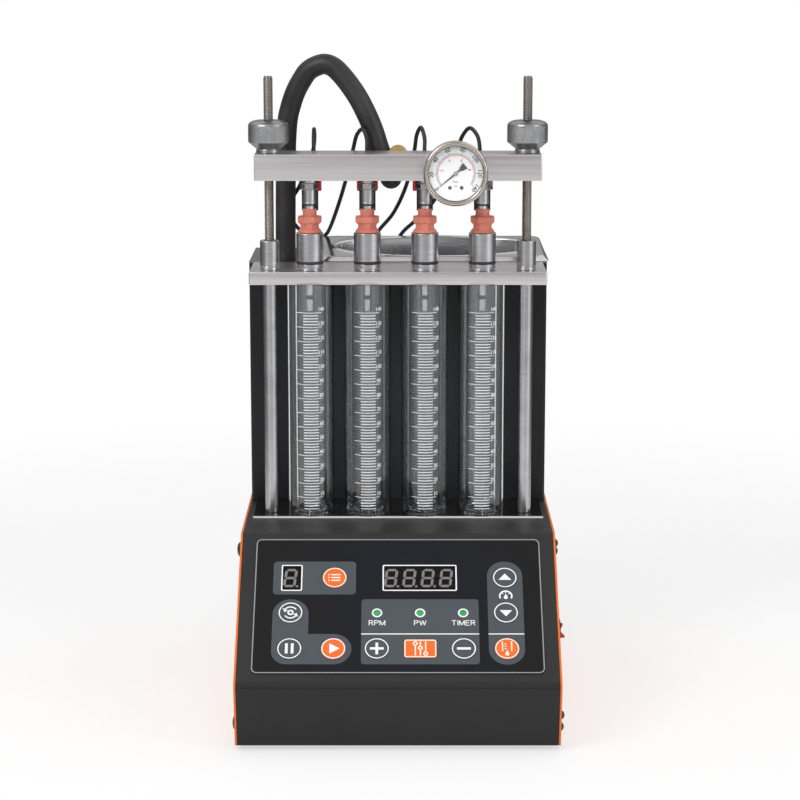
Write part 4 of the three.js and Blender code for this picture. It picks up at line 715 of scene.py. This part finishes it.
for number, (x, locks) in enumerate(zip(tube_places, lock_bars), 1):
    at = (x, line_y, 0)
    body = piece(f"injector_{number}_body", [
        turn(seat_profile, at, columns=56), turn(block_profile, at, columns=64, flats=8, start=math.pi / 8),
        turn(collar_profile, at, columns=48), block(x, (-3.6, 3.6, -11.2, -2, 496.5, 503.5), 0.8, 0.4)],
        coral, 36)
    neck = piece(f"injector_{number}_neck", [turn(neck_profile, at, columns=40)], neck_steel)
    ring = seal(f"injector_{number}_seal", at, 5.9, 522.5, 0.95)
    ribs = [block(x, (dx - 0.5, dx + 0.5, 7.3, 9, 526, 540), 0.3, 0.2) for dx in (-7, 7)]
    plug = piece(f"injector_{number}_plug", [
        block(x, (-6.1, 6.1, 0, 19.4, 504.2, 518)), block(x, (-5.1, 5.1, 4.4, 9, 510.2, 518.3), 0.8, 0.3),
        block(x, (-8.5, 8.5, 7.8, 20.3, 515.2, 544.7), 2.2),
        block(x, (-11, 11, 7.8, 20.3, 537.2, 548.2), 2.4),
        block(x, (-7.6, 7.6, 7.4, 10, 519, 524), 0.6, 0.3), *ribs], plug_black, 40)
    bars = [piece(f"plug_{number}_lock_{k}", [block(x, (low, high, 5.6, 14, foot, top), 1.4, 0.7)], paint)
            for k, (low, high, foot, top, paint) in enumerate(locks, 1)]
    fit("lift", "injector_plastic", f"injector_{number}", body, neck, *bars)
    fit("lift", "black_plastic", f"injector_{number}", plug, ring)

# Couplers: stainless barrels screwed up into the rail, each with a hexagon for the spanner and
# a turned washer face, bored for the injector's neck.
barrel_profile = [(5.6, 523.4), (6.9, 523.4), (6.9, 524.8), (6.6, 525.2), (6.9, 525.6), (6.9, 538.4),
                  (6.3, 538.9), (6.3, 544.5), (6.9, 545), (7.4, 545.6), (7.4, 549.1), (4.5, 549.1),
                  (4.5, 559), (1.3, 559), (1.3, 533.6), (5.6, 533.6)]
hexagon_profile = [(5.6, 538.5), (8.4, 538.5), (9.0, 539.3), (9.0, 544.1), (8.4, 544.9), (5.6, 544.9)]
for number, x in enumerate(tube_places, 1):
    at = (x, line_y, 0)
    barrel = turn(eased(barrel_profile, 0.2, 3, True), at, columns=48)
    hexagon = turn(eased(hexagon_profile, 0.12, 2, True), at, columns=48, flats=6)
    coupler = piece(f"coupler_{number}_body", [barrel, hexagon], bright_steel, 30)
    fit("lift", "stainless", f"coupler_{number}", coupler)

# Rail: a drawn aluminium bar, brushed along its length, with its edges broken. It slides on the
# two studs, and a brass banjo union on its back takes the hose.
rail = piece("rail_bar", [slab(-148, 148, -7, 43, 549.4, 576.5, 1.2, 0.8)], plate_alloy)
fit("lift", "brushed_alloy", "rail", rail)
brass = brushed("union_brass", "e2bf78", "f2d796", 0.2, (300, 300, 300), 0.00006)
dress(brass, "brass", "hose_union")

# Clamp nuts: turned stainless, run down the studs by hand on a diamond-knurled grip; a cone
# below it ends in a polished collar, and the top is domed.
knurl_count, knurl_rows = 60, 8
knurl_depth = 0.6


def knurled_nut(at):
    """Rings of a turned profile. On the grip the radius falls by depth (1 - 1.3 d) where that is
    above 0, with d the smaller of two triangle waves, of the turns u + v and u - v: crossed
    helical cuts."""
    columns = knurl_count * 6
    foot = eased([(5.3, 576.8), (12.9, 576.8), (12.9, 579.4), (12.2, 580.4), (20.9, 587.6), (20.9, 588.2)],
                 [0.1, 0.5, 0.4, 0.5, 0.5, 0.1], 3)
    dome = np.linspace(0, np.pi / 2, 10)
    crown = np.concatenate([np.stack([10.2 + 10.7 * np.cos(dome), 604.8 + 5.4 * np.sin(dome)], -1),
                            [(6.9, 610.2), (5.3, 608.6)]])
    z = np.linspace(588.3, 604.7, knurl_rows * 6 + 1)
    turns = np.linspace(0, knurl_count, columns, endpoint=False)
    rows = np.linspace(0, knurl_rows, len(z))[:, None]
    wave = [2 * np.abs((turns + sign * rows) % 1 - 0.5) for sign in (1, -1)]
    grip = 21.1 - knurl_depth * (1 - np.minimum(*wave) * 1.3).clip(0, 1)
    plain = [np.broadcast_to(part[:, :1], (len(part), columns)) for part in (foot, crown)]
    radius = np.concatenate([plain[0], grip, plain[1]])
    return revolved(radius, np.concatenate([foot[:, 1], z, crown[:, 1]]), at)


nut_steel = turned_steel("nut_steel", "8c8d8e", "a6a7a8", 0.22)
for side, name in ((-1, "left"), (1, "right")):
    grid = knurled_nut((side * column_x, line_y, 0))
    bore = np.stack([grid[-1], grid[0]])
    nut = piece(f"knurled_nut_{name}", [patch(grid, closed=True), patch(bore, closed=True)], nut_steel, 50)
    fit(f"nut_{name}", "bright_steel", f"clamp_nut_{name}", nut)

# Pressure gauge: a stainless case with a crimped bezel, screwed into the rail's front by its
# stem. A white enamelled dial lies 7 mm behind the rim, under a glass.
gauge_at = np.array([58.6, -47.0, 560.3])
bezel_steel = turned_steel("bezel_steel", "bdb5aa", "d6cfc6", 0.13)
case_profile = [(0, -32), (29.5, -32), (31.5, -30), (31.5, -8), (32.4, -7.4), (33, -6.4), (33, -2.2),
                (31.6, -0.3), (30.2, 0), (28.9, -0.3), (27.9, -2.2), (27.6, -2.8), (27.6, -7),
                (26, -7.2), (0, -7.2)]
case_corners = [0.1, 1, 1, 0.5, 0.5, 0.8, 1.2, 0.8, 0.8, 0.8, 0.5, 0.3, 0.1, 0.1, 0.1]
case = turn(eased(case_profile, case_corners, 4), gauge_at, FRONT, 120)
stem_profile = [(0, -53), (4.5, -53), (4.5, -40.2), (6, -40), (6, -31), (0, -31)]
stem = turn(eased(stem_profile, 0.3, 2), gauge_at, FRONT, 40)
gauge = piece("gauge_bezel", [case, stem], bezel_steel, 34)

stock = Recipe("dial_enamel")
spots, height = stock.noise(900), stock.axes(stock.place())[2]
# Random spots, and painted shade: the dial is painted greyer towards its top.
spots_and_painted_shade = (spots * 0.3 + height.ramp(0.545, 0.60) * 0.8).least(1.0)
enamel = stock.end(stock.surface(stock.blend(spots_and_painted_shade, "f8f8f6", "d2d4d5"), 0.34 + spots * 0.1))
dial_profile = [(0, -7.2), (27.4, -7.2), (27.4, -6.8), (0, -6.8)]
dial = piece("gauge_dial", [turn(dial_profile, gauge_at, FRONT, 96)], enamel)
fit("lift", "gauge_case", "gauge_case", gauge, dial)


def printed_ink(name, low, high, dull=0.45):
    """Screen-printed ink: slightly broken in tone, matt."""
    paint = Recipe(name)
    fleck = paint.noise(2100)
    return paint.end(paint.surface(paint.blend(fleck, low, high), dull + fleck * 0.15))


def on_dial(angle, out, side=0.0, lift=0.06):
    """Points `out` along the ray at an angle from the dial's centre, `side` to the right of it
    when it points up, and `lift` over the enamel."""
    a = np.radians(angle)
    x = out * np.cos(a) + side * np.sin(a)
    z = out * np.sin(a) - side * np.cos(a)
    return gauge_at + np.stack(np.broadcast_arrays(x, 6.8 - lift, z), -1)


def dial_angles(count):
    """The angles of so many even ticks along a scale, from zero to its far end."""
    return dial_start - dial_sweep * np.linspace(0, 1, count)


def dial_bars(angles, inner, outer, width):
    """Ticks: four corners each, half a width to both sides of the ray at each angle."""
    out, side = np.array([inner, outer])[:, None], np.array([0.5, -0.5]) * width
    return [patch(tick) for tick in on_dial(angles[:, None, None], out, side)]


def dial_arc(radius, width):
    return patch(on_dial(dial_angles(90)[:, None], radius + np.array([-0.5, 0.5]) * width))


dial_start, dial_sweep = 219.5, 256.0
dial_black = printed_ink("dial_black", "26282a", "3a3c3e")
dial_red = printed_ink("dial_red", "d5434b", "e2676c")
print_outer = piece("dial_scale_outer", [
    *dial_bars(dial_angles(8), 19.4, 22.0, 0.42), *dial_bars(dial_angles(57), 19.4, 20.6, 0.22),
    dial_arc(19.4, 0.3)], dial_black)
print_inner = piece("dial_scale_inner", [
    *dial_bars(dial_angles(11)[:-1], 16.2, 18.4, 0.4), *dial_bars(dial_angles(51), 17.3, 18.4, 0.22),
    dial_arc(18.4, 0.55)], dial_red)
fit("lift", "gauge_case", None, print_outer, print_inner)
words = [(f"dial_figure_{k}", str(k * 20), 5.8, dial_black, angle, 24.3, 0.11)
         for k, angle in enumerate(dial_angles(8))]
words += [(f"dial_inner_figure_{k}", str(k), 4.2, dial_red, dial_angles(11)[k], 14.0, 0.08)
          for k in (2, 4, 6, 8)]
words += [("dial_unit_psi", "psi", 3.2, dial_black, 90, -12.6, 0.0),
          ("dial_unit_bar", "bar", 4.0, dial_red, 90, -8.2, 0.05)]
for name, text, size, paint, angle, radius, bold in words:
    lettering(name, text, size, paint, lambda u, v, w: on_dial(angle, radius + v, u),
              "lift", bold=bold)

screw_grey = turned_steel("screw_grey", "4c4e50", "66686a", 0.3)
screw_profile = [(0, -6.9), (1.9, -6.9), (1.9, -6.2), (1.3, -5.9), (0, -5.85)]
for number, x in enumerate((-5.9, 5.9), 1):
    head = turn(screw_profile, gauge_at + (x, 0, -14.3), FRONT, 24)
    fit("lift", "gauge_case", None, piece(f"dial_screw_{number}", [head], screw_grey))

# Needle: pressed from thin sheet, with a broad arrow tail and a turned steel hub cap. The
# glass in front of it is a plain disc.
def needle_grid():
    """Half width over the length s: 3.5 at the tail, 0.8 at the waist, 0.95 over the hub and
    0.12 at the point, in sheet 0.5 thick; closed to its middle at both ends."""
    s = np.array([-12.4, -12.0, -9.0, -6.2, -5.4, -3, 0, 6, 12, 18, 22.0])[:, None]
    half = np.interp(s, [-12.4, -12, -6.2, -5.4, 0, 22], [3.5, 3.5, 1.9, 0.8, 0.95, 0.12])
    loop = np.array([(1, 0), (1, 1), (-1, 1), (-1, 0)])
    grid = on_dial(dial_start, s, -half * loop[:, 0], 0.4 + 0.5 * loop[:, 1])
    ends = [np.broadcast_to(grid[k].mean(0), (1, 4, 3)) for k in (0, -1)]
    return np.concatenate([ends[0], grid, ends[1]])


needle_black = printed_ink("needle_black", "2a2c2e", "3c3e40", 0.32)
hub = turn(eased([(0, -6.6), (2.5, -6.6), (2.5, -5.6), (1.7, -5.2), (0, -5.1)], 0.3, 3), gauge_at, FRONT, 36)
needle = piece("needle_pointer", [patch(needle_grid(), closed=True)], needle_black)
needle_hub = piece("needle_hub", [hub], satin_steel)
fit("needle", "black_plastic", "gauge_needle", needle, needle_hub)
lens_profile = [(0, -3.95), (27.3, -3.95), (27.3, -2.6), (26.8, -2.45), (0, -2.45)]
lens = piece("gauge_glass", [turn(lens_profile, gauge_at, FRONT, 96)], tube_glass)
fit("lift", "clear_glass", "gauge_lens", lens)

# Ultrasonic bath: one stainless sheet drawn into an oval basin inside a tray whose top falls
# towards the operator. Two transducers are bonded under its floor.
deck_top, rim_roll, floor_draw = 454.2, 3.4, 0.84
basin_centre = np.array([40.0, 136.25])
basin_half = np.array([108.0, 46.5])
tray_low, tray_high = np.array([-90.0, 82.5]), np.array([162.4, 190.0])
bath_turn = np.linspace(0, 2 * np.pi, 216, endpoint=False)
bath_ray = np.stack([np.cos(bath_turn), np.sin(bath_turn)], -1)


def tray_ring(inset, corner=9.0):
    """Where rays from the basin's centre, at the ellipse's own steps, meet the tray's outline:
    the nearest side first, then drawn on to the corner circle of the given radius. The front
    is drawn in half as much as the other sides."""
    low, high = tray_low + np.array([1, 0.5]) * inset, tray_high - inset
    way = bath_ray * basin_half
    room = np.where(way > 0, high, low) - basin_centre
    share = np.abs(room / np.where(np.abs(way) < 1e-6, 1e-6, way)).min(1)[:, None]
    point = basin_centre + way * share
    middle = np.clip(point, low + corner, high - corner)
    away = point - middle
    return middle + corner * away / np.linalg.norm(away, axis=1)[:, None]


def tray_top(ring):
    """Height of the sloping top over each point: 5.3 over the deck at the front, 16.4 behind."""
    share = (ring[:, 1] - tray_low[1]) / (tray_high[1] - tray_low[1])
    return deck_top + 5.3 + (16.4 - 5.3) * share


def bath_skin(wall):
    """Rings from the skirt's foot to the basin's middle, `wall` inside the outer face: a
    straight bevel, an eased fold, the top, a rolled rim, and a bowl that draws in downwards."""
    foot, fold, field = tray_ring(wall), tray_ring(6 + wall * 0.4), tray_ring(11)
    base, top = deck_top + 0.3, tray_top(fold) - wall
    low_ring, low_top = fold + (foot - fold) * 0.16, top + (base - top) * 0.16
    rows = [(foot * (1 - s) + low_ring * s, base * (1 - s) + low_top * s) for s in (0, 0.05, 0.92)]
    for t in np.linspace(0, 1, 6):
        first, middle, last = (1 - t) ** 2, 2 * t * (1 - t), t ** 2
        rows.append((first * low_ring + middle * fold + last * (fold + (field - fold) * 0.3),
                     first * low_top + (middle + last) * top))
    rim = basin_centre + bath_ray * (basin_half + rim_roll)
    for t in (0.5, 1.0):
        spot = field * (1 - t) + rim * t
        rows.append((spot, tray_top(spot) - wall))
    for t in np.radians(np.linspace(15, 90, 7)):
        spot = basin_centre + bath_ray * (basin_half + wall + rim_roll * (1 - math.sin(t)))
        rows.append((spot, tray_top(spot) - wall - 3.2 * (1 - math.cos(t)) + 0.7 * math.sin(2 * t)))
    rim_height, floor_height = rows[-1][1], 392.2 - wall
    for s in (0.2, 0.4, 0.6, 0.8, 0.88, 0.94, 0.975, 0.993, 1.0):
        draw = np.interp(s, [0, 0.8, 0.94, 1.0], [1.0, 0.96, 0.91, floor_draw])
        rows.append((basin_centre + bath_ray * (basin_half * draw + wall),
                     rim_height * (1 - s) + floor_height * s))
    for share in (0.8, 0.4, 0.0):
        rows.append((basin_centre + bath_ray * (basin_half * floor_draw + wall) * share, floor_height))
    return np.stack([np.column_stack([spot, np.broadcast_to(height, len(spot))]) for spot, height in rows])


bath_steel = brushed("bath_steel", "d2d2d3", "e8e8e9", 0.03, (6, 700, 700), 0.000002)
skin, underside = bath_skin(0.0), bath_skin(1.4)
bath_foot = np.stack([skin[0], underside[0]])
bath = piece("bath_tray", [patch(grid, closed=True) for grid in (skin, underside, bath_foot)], bath_steel, 30)
transducer_metal = turned_steel("transducer_alloy", "9c9da0", "b4b5b8", 0.3)
transducer_profile = eased([
    (0, 361.5), (4, 361.5), (4, 364), (17.3, 364), (17.3, 370), (16.4, 370.4), (16.4, 375.6),
    (17.3, 376), (17.3, 378), (24, 390.9), (0, 390.9)], 0.4, 2)
horns = [piece(f"bath_transducer_{k}", [turn(transducer_profile, (x, basin_centre[1], 0), columns=48)],
               transducer_metal) for k, x in enumerate((-1.0, 81.0), 1)]
fit("base", "stainless", "bath_pan", bath, *horns)

# Deck fittings: rubber grommets line the holes of the hose and the four wires, each with a
# lip over and a lip under the sheet.
grommets = [("hose_grommet", -120.9, 95.0, 11.0, 2.4)]
grommets += [(f"wire_grommet_{k}", *route[-1][:2], 2.2, 0.9) for k, route in enumerate(wire_routes, 1)]
for name, x, y, hole, thick in grommets:
    profile = [(hole, 452.2), (hole + thick, 452.2), (hole + thick * 0.5, 453), (hole + thick * 0.5, 454.3),
               (hole + thick, 454.4), (hole + thick, 455.2), (hole, 455.6)]
    grommet = piece(name, [turn(eased(profile, 0.25, 2, True), (x, y, 0), columns=32)], rubber)
    fit("base", "hose_rubber", None, grommet)

# Control panel: a printed polyester film stuck on the slope. Places on it are x across and s
# down the slope from the upper fold; rise is the height off the painted sheet.
upper_fold = np.array([0, -64.0, 191.3])
slope_angle = math.atan2(191.3 - 72.3, 141.0)
slope_up = np.array([0, math.cos(slope_angle), math.sin(slope_angle)])
slope_out = np.array([0, -math.sin(slope_angle), math.cos(slope_angle)])


def on_slope(x, s, rise=0.0):
    """fold + x across - s up the slope + rise outwards."""
    x, s, rise = (part[..., None] for part in np.broadcast_arrays(x, s, rise))
    return upper_fold + x * X - s * slope_up + rise * slope_out


def leant(flat):
    """A patch drawn flat, y up the slope and z off it, laid on the slope."""
    points, quads = flat
    return on_slope(points[:, 0], -points[:, 1], points[:, 2]), quads


def arc(x, s, radius, first, last, steps=10):
    """Points (x + r sin a, s - r cos a), a in degrees clockwise from straight up the slope."""
    a = np.radians(np.linspace(first, last, steps + 1))
    return np.stack([x + radius * np.sin(a), s - radius * np.cos(a)], -1)


def disc(x, s, radius, steps=48):
    return arc(x, s, radius, 0, 360, steps)[:-1]


def pane(x0, x1, s0, s1, corner, steps=8):
    """A rectangle with a quarter circle at each corner."""
    places = ((x1, s0, -1, 1, 0), (x1, s1, -1, -1, 90), (x0, s1, 1, -1, 180), (x0, s0, 1, 1, 270))
    return np.concatenate([arc(x + dx * corner, s + ds * corner, corner, a, a + 90, steps)
                           for x, s, dx, ds, a in places])


def window(x, half, grow=0.0, corner=0.8):
    """The opening over a display, or with `grow` a line that much outside it."""
    return pane(x - half - grow, x + half + grow, 42.2 - grow, 71.6 + grow, corner)


def band(outer, inner, first, last, steps):
    """A strip of a ring about the origin, from one angle to the other."""
    return np.concatenate([arc(0, 0, outer, first, last, steps), arc(0, 0, inner, last, first, steps)])


def film(name, loops, material, low, high=None, body="base"):
    """Loops filled by the even-odd rule, flat at one rise or cut from a sheet low to high."""
    high = low if high is None else high
    curve = bpy.data.curves.new(name, "CURVE")
    curve.dimensions, curve.fill_mode, curve.extrude = "2D", "BOTH", (high - low) / 2
    for loop in loops:
        loop = np.asarray(loop, float)
        spline = curve.splines.new("POLY")
        spline.points.add(len(loop) - 1)
        spline.points.foreach_set("co", np.column_stack([loop * [1, -1], loop * 0 + [0, 1]]).ravel())
        spline.use_cyclic_u = True
    middle = (low + high) / 2
    return settled(name, curve, lambda u, v, w: on_slope(u, -v, w + middle), material, body)


keys = {"menu": (-64.3, 57), "refresh": (-108, 99.6), "pause": (-108, 142.4), "play": (-64.3, 142.4),
        "plus": (-21, 142.4), "minus": (65.6, 142.4), "up": (108.6, 57), "down": (108.6, 99.6),
        "drain": (108.6, 142.4)}
settings_x, settings_s = 22.3, 142.4
lamp_x, lamp_s = (-21.0, 22.3, 65.6), 99.6
small_window, large_window = (-107.8, 9.4), (22.1, 36.4)
key_holes = [disc(x, s, 12.45) for x, s in keys.values()]
square_hole = pane(settings_x - 16.55, settings_x + 16.55, settings_s - 10.95, settings_s + 10.95, 2.9)
windows = [window(*small_window), window(*large_window)]
lamp_holes = [disc(x, lamp_s, 3.7, 32) for x in lamp_x]

stock = Recipe("panel_film")
beside = abs(stock.axes(stock.place())[0] - 0.012).ramp(0.03, 0.125)
hatch = stock.node("TexWave", {"bands_direction": "DIAGONAL"}, {
    "Vector": stock.place(), "Scale": 95.0, "Distortion": 0.6, "Detail": 1.0})
fleck = stock.noise(1600)
film_blue = stock.blend(hatch * 0.5 + fleck * 0.3, "0e1017", "1a1c25")
film_grey = stock.blend(fleck, "101011", "171718")
film_ink = stock.end(stock.surface(stock.blend(beside, film_blue, film_grey), 0.42 + fleck * 0.12,
                                   Specular_IOR_Level=0.25))
panel_slate = printed_ink("panel_slate", "3f464b", "4a5157", 0.42)
panel_white = printed_ink("panel_white", "eceef0", "ffffff", 0.42)
panel_silver = printed_ink("panel_silver", "84868a", "a0a2a5", 0.36)
key_orange = printed_ink("key_orange", "ea6212", "f67420", 0.36)
key_cream = printed_ink("key_cream", "ffe9d2", "fff6ea", 0.4)

overlay = film("panel_film", [pane(-145.5, 145.5, 8.5, 171, 6, 12), *key_holes, square_hole, *windows,
                              *lamp_holes], film_ink, 0.3, 1.3)
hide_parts("panel_overlay")
film("panel_outline", [pane(-145.3, 145.3, 8.7, 170.8, 5.8, 12), pane(-144.1, 144.1, 9.9, 169.6, 4.6, 12)],
     panel_silver, 1.34)
elbow = np.concatenate([arc(-107.9, 101.2, 18.1, -90, 90, 24), [(-89.8, 124.8)],
                        arc(-64.05, 142.65, 17.85, 0, 180, 24), arc(-111, 145.5, 15, 180, 270, 12)])
column_pill = np.concatenate([arc(108.45, 54.75, 17.95, -90, 90, 24),
                              arc(108.45, 143.05, 17.95, 90, 270, 24)])
film("panel_groups", [pane(-126.6, -42.7, 36.8, 77.3, 4), elbow, pane(-36.7, 81.2, 83.1, 160.5, 3.4),
                      column_pill, *key_holes, square_hole, windows[0], *lamp_holes], panel_slate, 1.33)
frames = [loop for place in (small_window, large_window)
          for loop in (window(*place, 1.3, 1.8), window(*place))]
rules = [pane(x0, x1, 124.2, 125.4, 0.1, 1) for x0, x1 in ((-36.7, 81.2), (90.6, 126.3))]
lamp_rims = [disc(x, lamp_s, radius, 40) for x in lamp_x for radius in (5.3, 3.75)]
film("panel_lines", [*frames, *rules, *lamp_rims], panel_white, 1.36)

# Labels under the lamps, drawn with a round-nosed pen: each letter is a few runs of points in
# a box one unit high.
bowl = [(0, 1), (0.42, 1), (0.6, 0.94), (0.67, 0.76), (0.6, 0.58), (0.42, 0.51), (0, 0.51)]
letters = {
    "T": (0.82, [[(0, 1), (0.82, 1)], [(0.41, 1), (0.41, 0)]]), "I": (0.0, [[(0, 0), (0, 1)]]),
    "M": (0.88, [[(0, 0), (0, 1)], [(0.02, 1), (0.44, 0.05)], [(0.44, 0.05), (0.86, 1)], [(0.88, 1), (0.88, 0)]]),
    "E": (0.62, [[(0.62, 1), (0, 1), (0, 0), (0.62, 0)], [(0, 0.52), (0.56, 0.52)]]),
    "R": (0.7, [[(0, 0), *bowl], [(0.38, 0.51), (0.7, 0)]]), "P": (0.67, [[(0, 0), *bowl]]),
    "W": (1.12, [[(0.28 * k, 1 - k % 2), (0.28 * k + 0.28, k % 2)] for k in range(4)]),
}


def ribbon(points, pen):
    """A stroke of nearly even width: each point moved by 1.12 m pen / (1.25 + n1.n2), m the sum
    of the unit normals n1 and n2 of the runs that meet there."""
    way = np.diff(points, axis=0)
    side = np.stack([-way[:, 1], way[:, 0]], -1) / np.linalg.norm(way, axis=1)[:, None]
    before, after = np.concatenate([side[:1], side]), np.concatenate([side, side[-1:]])
    reach = (before + after) / (1.25 + (before * after).sum(1))[:, None] * pen * 1.12
    edge = np.stack([points + reach, points - reach], 1)
    return patch(on_slope(edge[..., 0], -edge[..., 1], 1.37))


gap, letter_height, pen = 0.27, 5.7, 0.42
for word, x in zip(("RPM", "PW", "TIMER"), lamp_x):
    advance = np.cumsum([0] + [letters[letter][0] + gap for letter in word])
    middle = [(advance[-1] - gap) / 2, 0.5]
    strokes = [ribbon((np.array(run) + [start, 0] - middle) * letter_height + [x, -111.6], pen)
               for start, letter in zip(advance, word) for run in letters[letter][1]]
    fit("base", "overlay", None, piece(f"label_{word.lower()}", strokes, panel_white))

# Pressure symbol between the up and down keys: an open arc with three ticks, and a drop for
# its pointer.
drop = np.concatenate([[(0, -3.0)], arc(0, 1.6, 2.1, 62, 298, 20)])
ticks = [np.concatenate([arc(0, 0, 5.0, a - 7, a + 7, 2), arc(0, 0, 3.6, a + 8, a - 8, 2)])
         for a in (-46, 0, 46)]
film("pressure_symbol", [loop + [109.0, 79.2] for loop in (band(6.9, 5.3, -118, 118, 32), drop, *ticks)],
     panel_white, 1.36)

# Displays: black potted blocks under the windows, their seven-segment bars unlit and grey.
display_black = moulded("display_black", "060506", "0b0a0b", 0.2, 900.0, 0.00002)
segment_grey = printed_ink("segment_grey", "706c6a", "8a8683", 0.4)


def segment(ax, ay, bx, by, half=1.35):
    """A bar from a to b with a point at each end, as six corners."""
    a, b = np.array([ax, ay], float), np.array([bx, by], float)
    along = (b - a) / np.linalg.norm(b - a)
    side = np.array([-along[1], along[0]]) * half
    return np.stack([a, a + along * half + side, b - along * half + side, b, b - along * half - side,
                     a + along * half - side])


def digit(x, point):
    """Seven bars about x, leaning by a tenth, and a round point at the foot."""
    w, h, g = 5.1, 9.8, 0.35
    bars = [(-w + g, -h, w - g, -h), (-w + g, 0, w - g, 0), (-w + g, h, w - g, h), (-w, -h + g, -w, -g),
            (w, -h + g, w, -g), (-w, g, -w, h - g), (w, g, w, h - g)]
    loops = [segment(*bar) for bar in bars] + ([disc(w + 3.0, h + 0.3, 1.35, 16)] if point else [])
    return [loop + [x, 56.9] - loop[:, 1:] * [0.11, 0] for loop in loops]


for name, (x, half), digits in (
        ("small", small_window, [(-109.3, True)]),
        ("large", large_window, [(-7.0, True), (11.6, True), (30.2, True), (48.8, False)])):
    glass = slab(x - half + 0.2, x + half - 0.2, -71.4, -42.4, 0.32, 0.95, 0.7, 0.1)
    face = piece(f"display_{name}", [leant(glass)], display_black, 40)
    fit("base", "black_plastic", None, face)
    film(f"display_{name}_digits", [loop for place, point in digits for loop in digit(place, point)],
         segment_grey, 0.98)

# Lamps: green lenses pushed up from the board through the film.
lamp_green = moulded("lamp_green", "1f9a45", "35b25a", 0.2, 900.0, 0.00002)
lamp_profile = eased([(0, 0.35), (3.55, 0.35), (3.55, 1.45), (2.6, 1.85), (0, 1.95)], 0.3, 3)
for number, x in enumerate(lamp_x, 1):
    lamp = piece(f"lamp_lens_{number}", [leant(turn(lamp_profile, (x, -lamp_s, 0), columns=40))], lamp_green)
    fit("base", "board", None, lamp)
dress(moulded("board_laminate", "1c5638", "27684a", 0.36), "board", "control_board")

# Keys: moulded caps that stand a little over the film, each with a printed ring and symbol, on
# a stem down to its switch.
cap_profile = eased([(0, -9.4), (3, -9.4), (3, -1.7), (12.2, -1.5), (12.2, 2.1), (0, 2.1)],
                    [0.1, 0.3, 0.3, 0.2, 0.25, 0.1], 3)


def bar(x0, x1, s0, s1):
    return pane(x0, x1, s0, s1, 0.25, 2)


def turning_arrow(first):
    """Part of a ring of radius 6.6 from the angle `first`, with a barbed head at its start."""
    head = [arc(0, 0, radius, first + turned, first + turned, 0)[0]
            for radius, turned in ((9.6, 28), (6.2, -2), (3.7, 36))]
    return [band(7.3, 5.9, first + 24, first + 140, 16), head]


signs = {
    "menu": [bar(x0, x1, s - 0.75, s + 0.75)
             for x0, x1 in ((-3.6, 6.0), (-6.6, -5.0)) for s in (-3.5, 0, 3.5)],
    "refresh": [disc(0, 0, 3.2, 28), disc(0, 0, 1.5, 20)] + turning_arrow(-84) + turning_arrow(96),
    "pause": [bar(-4.3, -1.5, -6, 6), bar(1.5, 4.3, -6, 6)],
    "play": [[(-3.9, -6.0), (6.4, 0), (-3.9, 6.0)]],
    "plus": [[(-6.9, -1.35), (-1.35, -1.35), (-1.35, -6.9), (1.35, -6.9), (1.35, -1.35), (6.9, -1.35),
              (6.9, 1.35), (1.35, 1.35), (1.35, 6.9), (-1.35, 6.9), (-1.35, 1.35), (-6.9, 1.35)]],
    "minus": [bar(-6.9, 6.9, -1.35, 1.35)],
    "up": [[(0, -4.9), (6.6, 2.9), (-6.6, 2.9)]],
    "down": [[(-6.3, -2.8), (6.3, -2.8), (0, 4.6)]],
    "drain": [bar(-5.2, -3.9, -8.2, 3.2), bar(3.9, 5.2, -8.2, 3.2), bar(-2.6, -0.6, -5.8, -4.7),
              bar(-2.6, -0.6, -3.0, -1.9), bar(-2.6, -0.6, -0.2, 0.9),
              np.concatenate([[(0, 1.6)], arc(0, 6.4, 2.0, 60, 300, 16)])],
}
for key, (x, s) in keys.items():
    bright = key in ("menu", "play", "drain")
    slot, paint = ("key_orange", key_orange) if bright else ("key_dark", panel_slate)
    cap = piece(f"cap_{key}", [leant(turn(cap_profile, (x, -s, 0), columns=64))], paint, 40)
    loops = [disc(0, 0, 11.9, 64), disc(0, 0, 10.75, 64), *signs[key]]
    film(f"sign_{key}", [np.asarray(loop) + [x, s] for loop in loops],
         key_cream if bright and key != "play" else panel_white, 2.13, body=f"{key}_key")
    fit(f"{key}_key", slot, f"key_{key}", cap)

# Settings key: the one oblong cap, with three sliders on it, their knobs high, middle and low.
stem = turn(eased([(0, -9.4), (3, -9.4), (3, -1.4), (0, -1.4)], 0.2, 2),
            (settings_x, -settings_s, 0), columns=24)
oblong = slab(settings_x - 16.25, settings_x + 16.25, -settings_s - 10.65, -settings_s + 10.65,
              -1.5, 2.1, 2.7, 0.25)
cap = piece("cap_settings", [leant(oblong), leant(stem)], key_orange, 40)
loops = [pane(-15.9, 15.9, -10.3, 10.3, 2.4), pane(-14.7, 14.7, -9.1, 9.1, 1.3)]
for dx, knob in ((-5.0, -5.9), (0, -0.6), (5.3, 6.1)):
    if knob > -5:
        loops.append(bar(dx - 0.65, dx + 0.65, -8.4, knob - 2.3))
    if knob < 5:
        loops.append(bar(dx - 0.65, dx + 0.65, knob + 2.3, 8.2))
    loops += [disc(dx, knob, 2.55, 24), disc(dx, knob, 1.2, 16)]
film("sign_settings", [loop + [settings_x, settings_s] for loop in loops], key_cream, 2.13,
     body="settings_key")
fit("settings_key", "key_orange", "key_settings", cap)
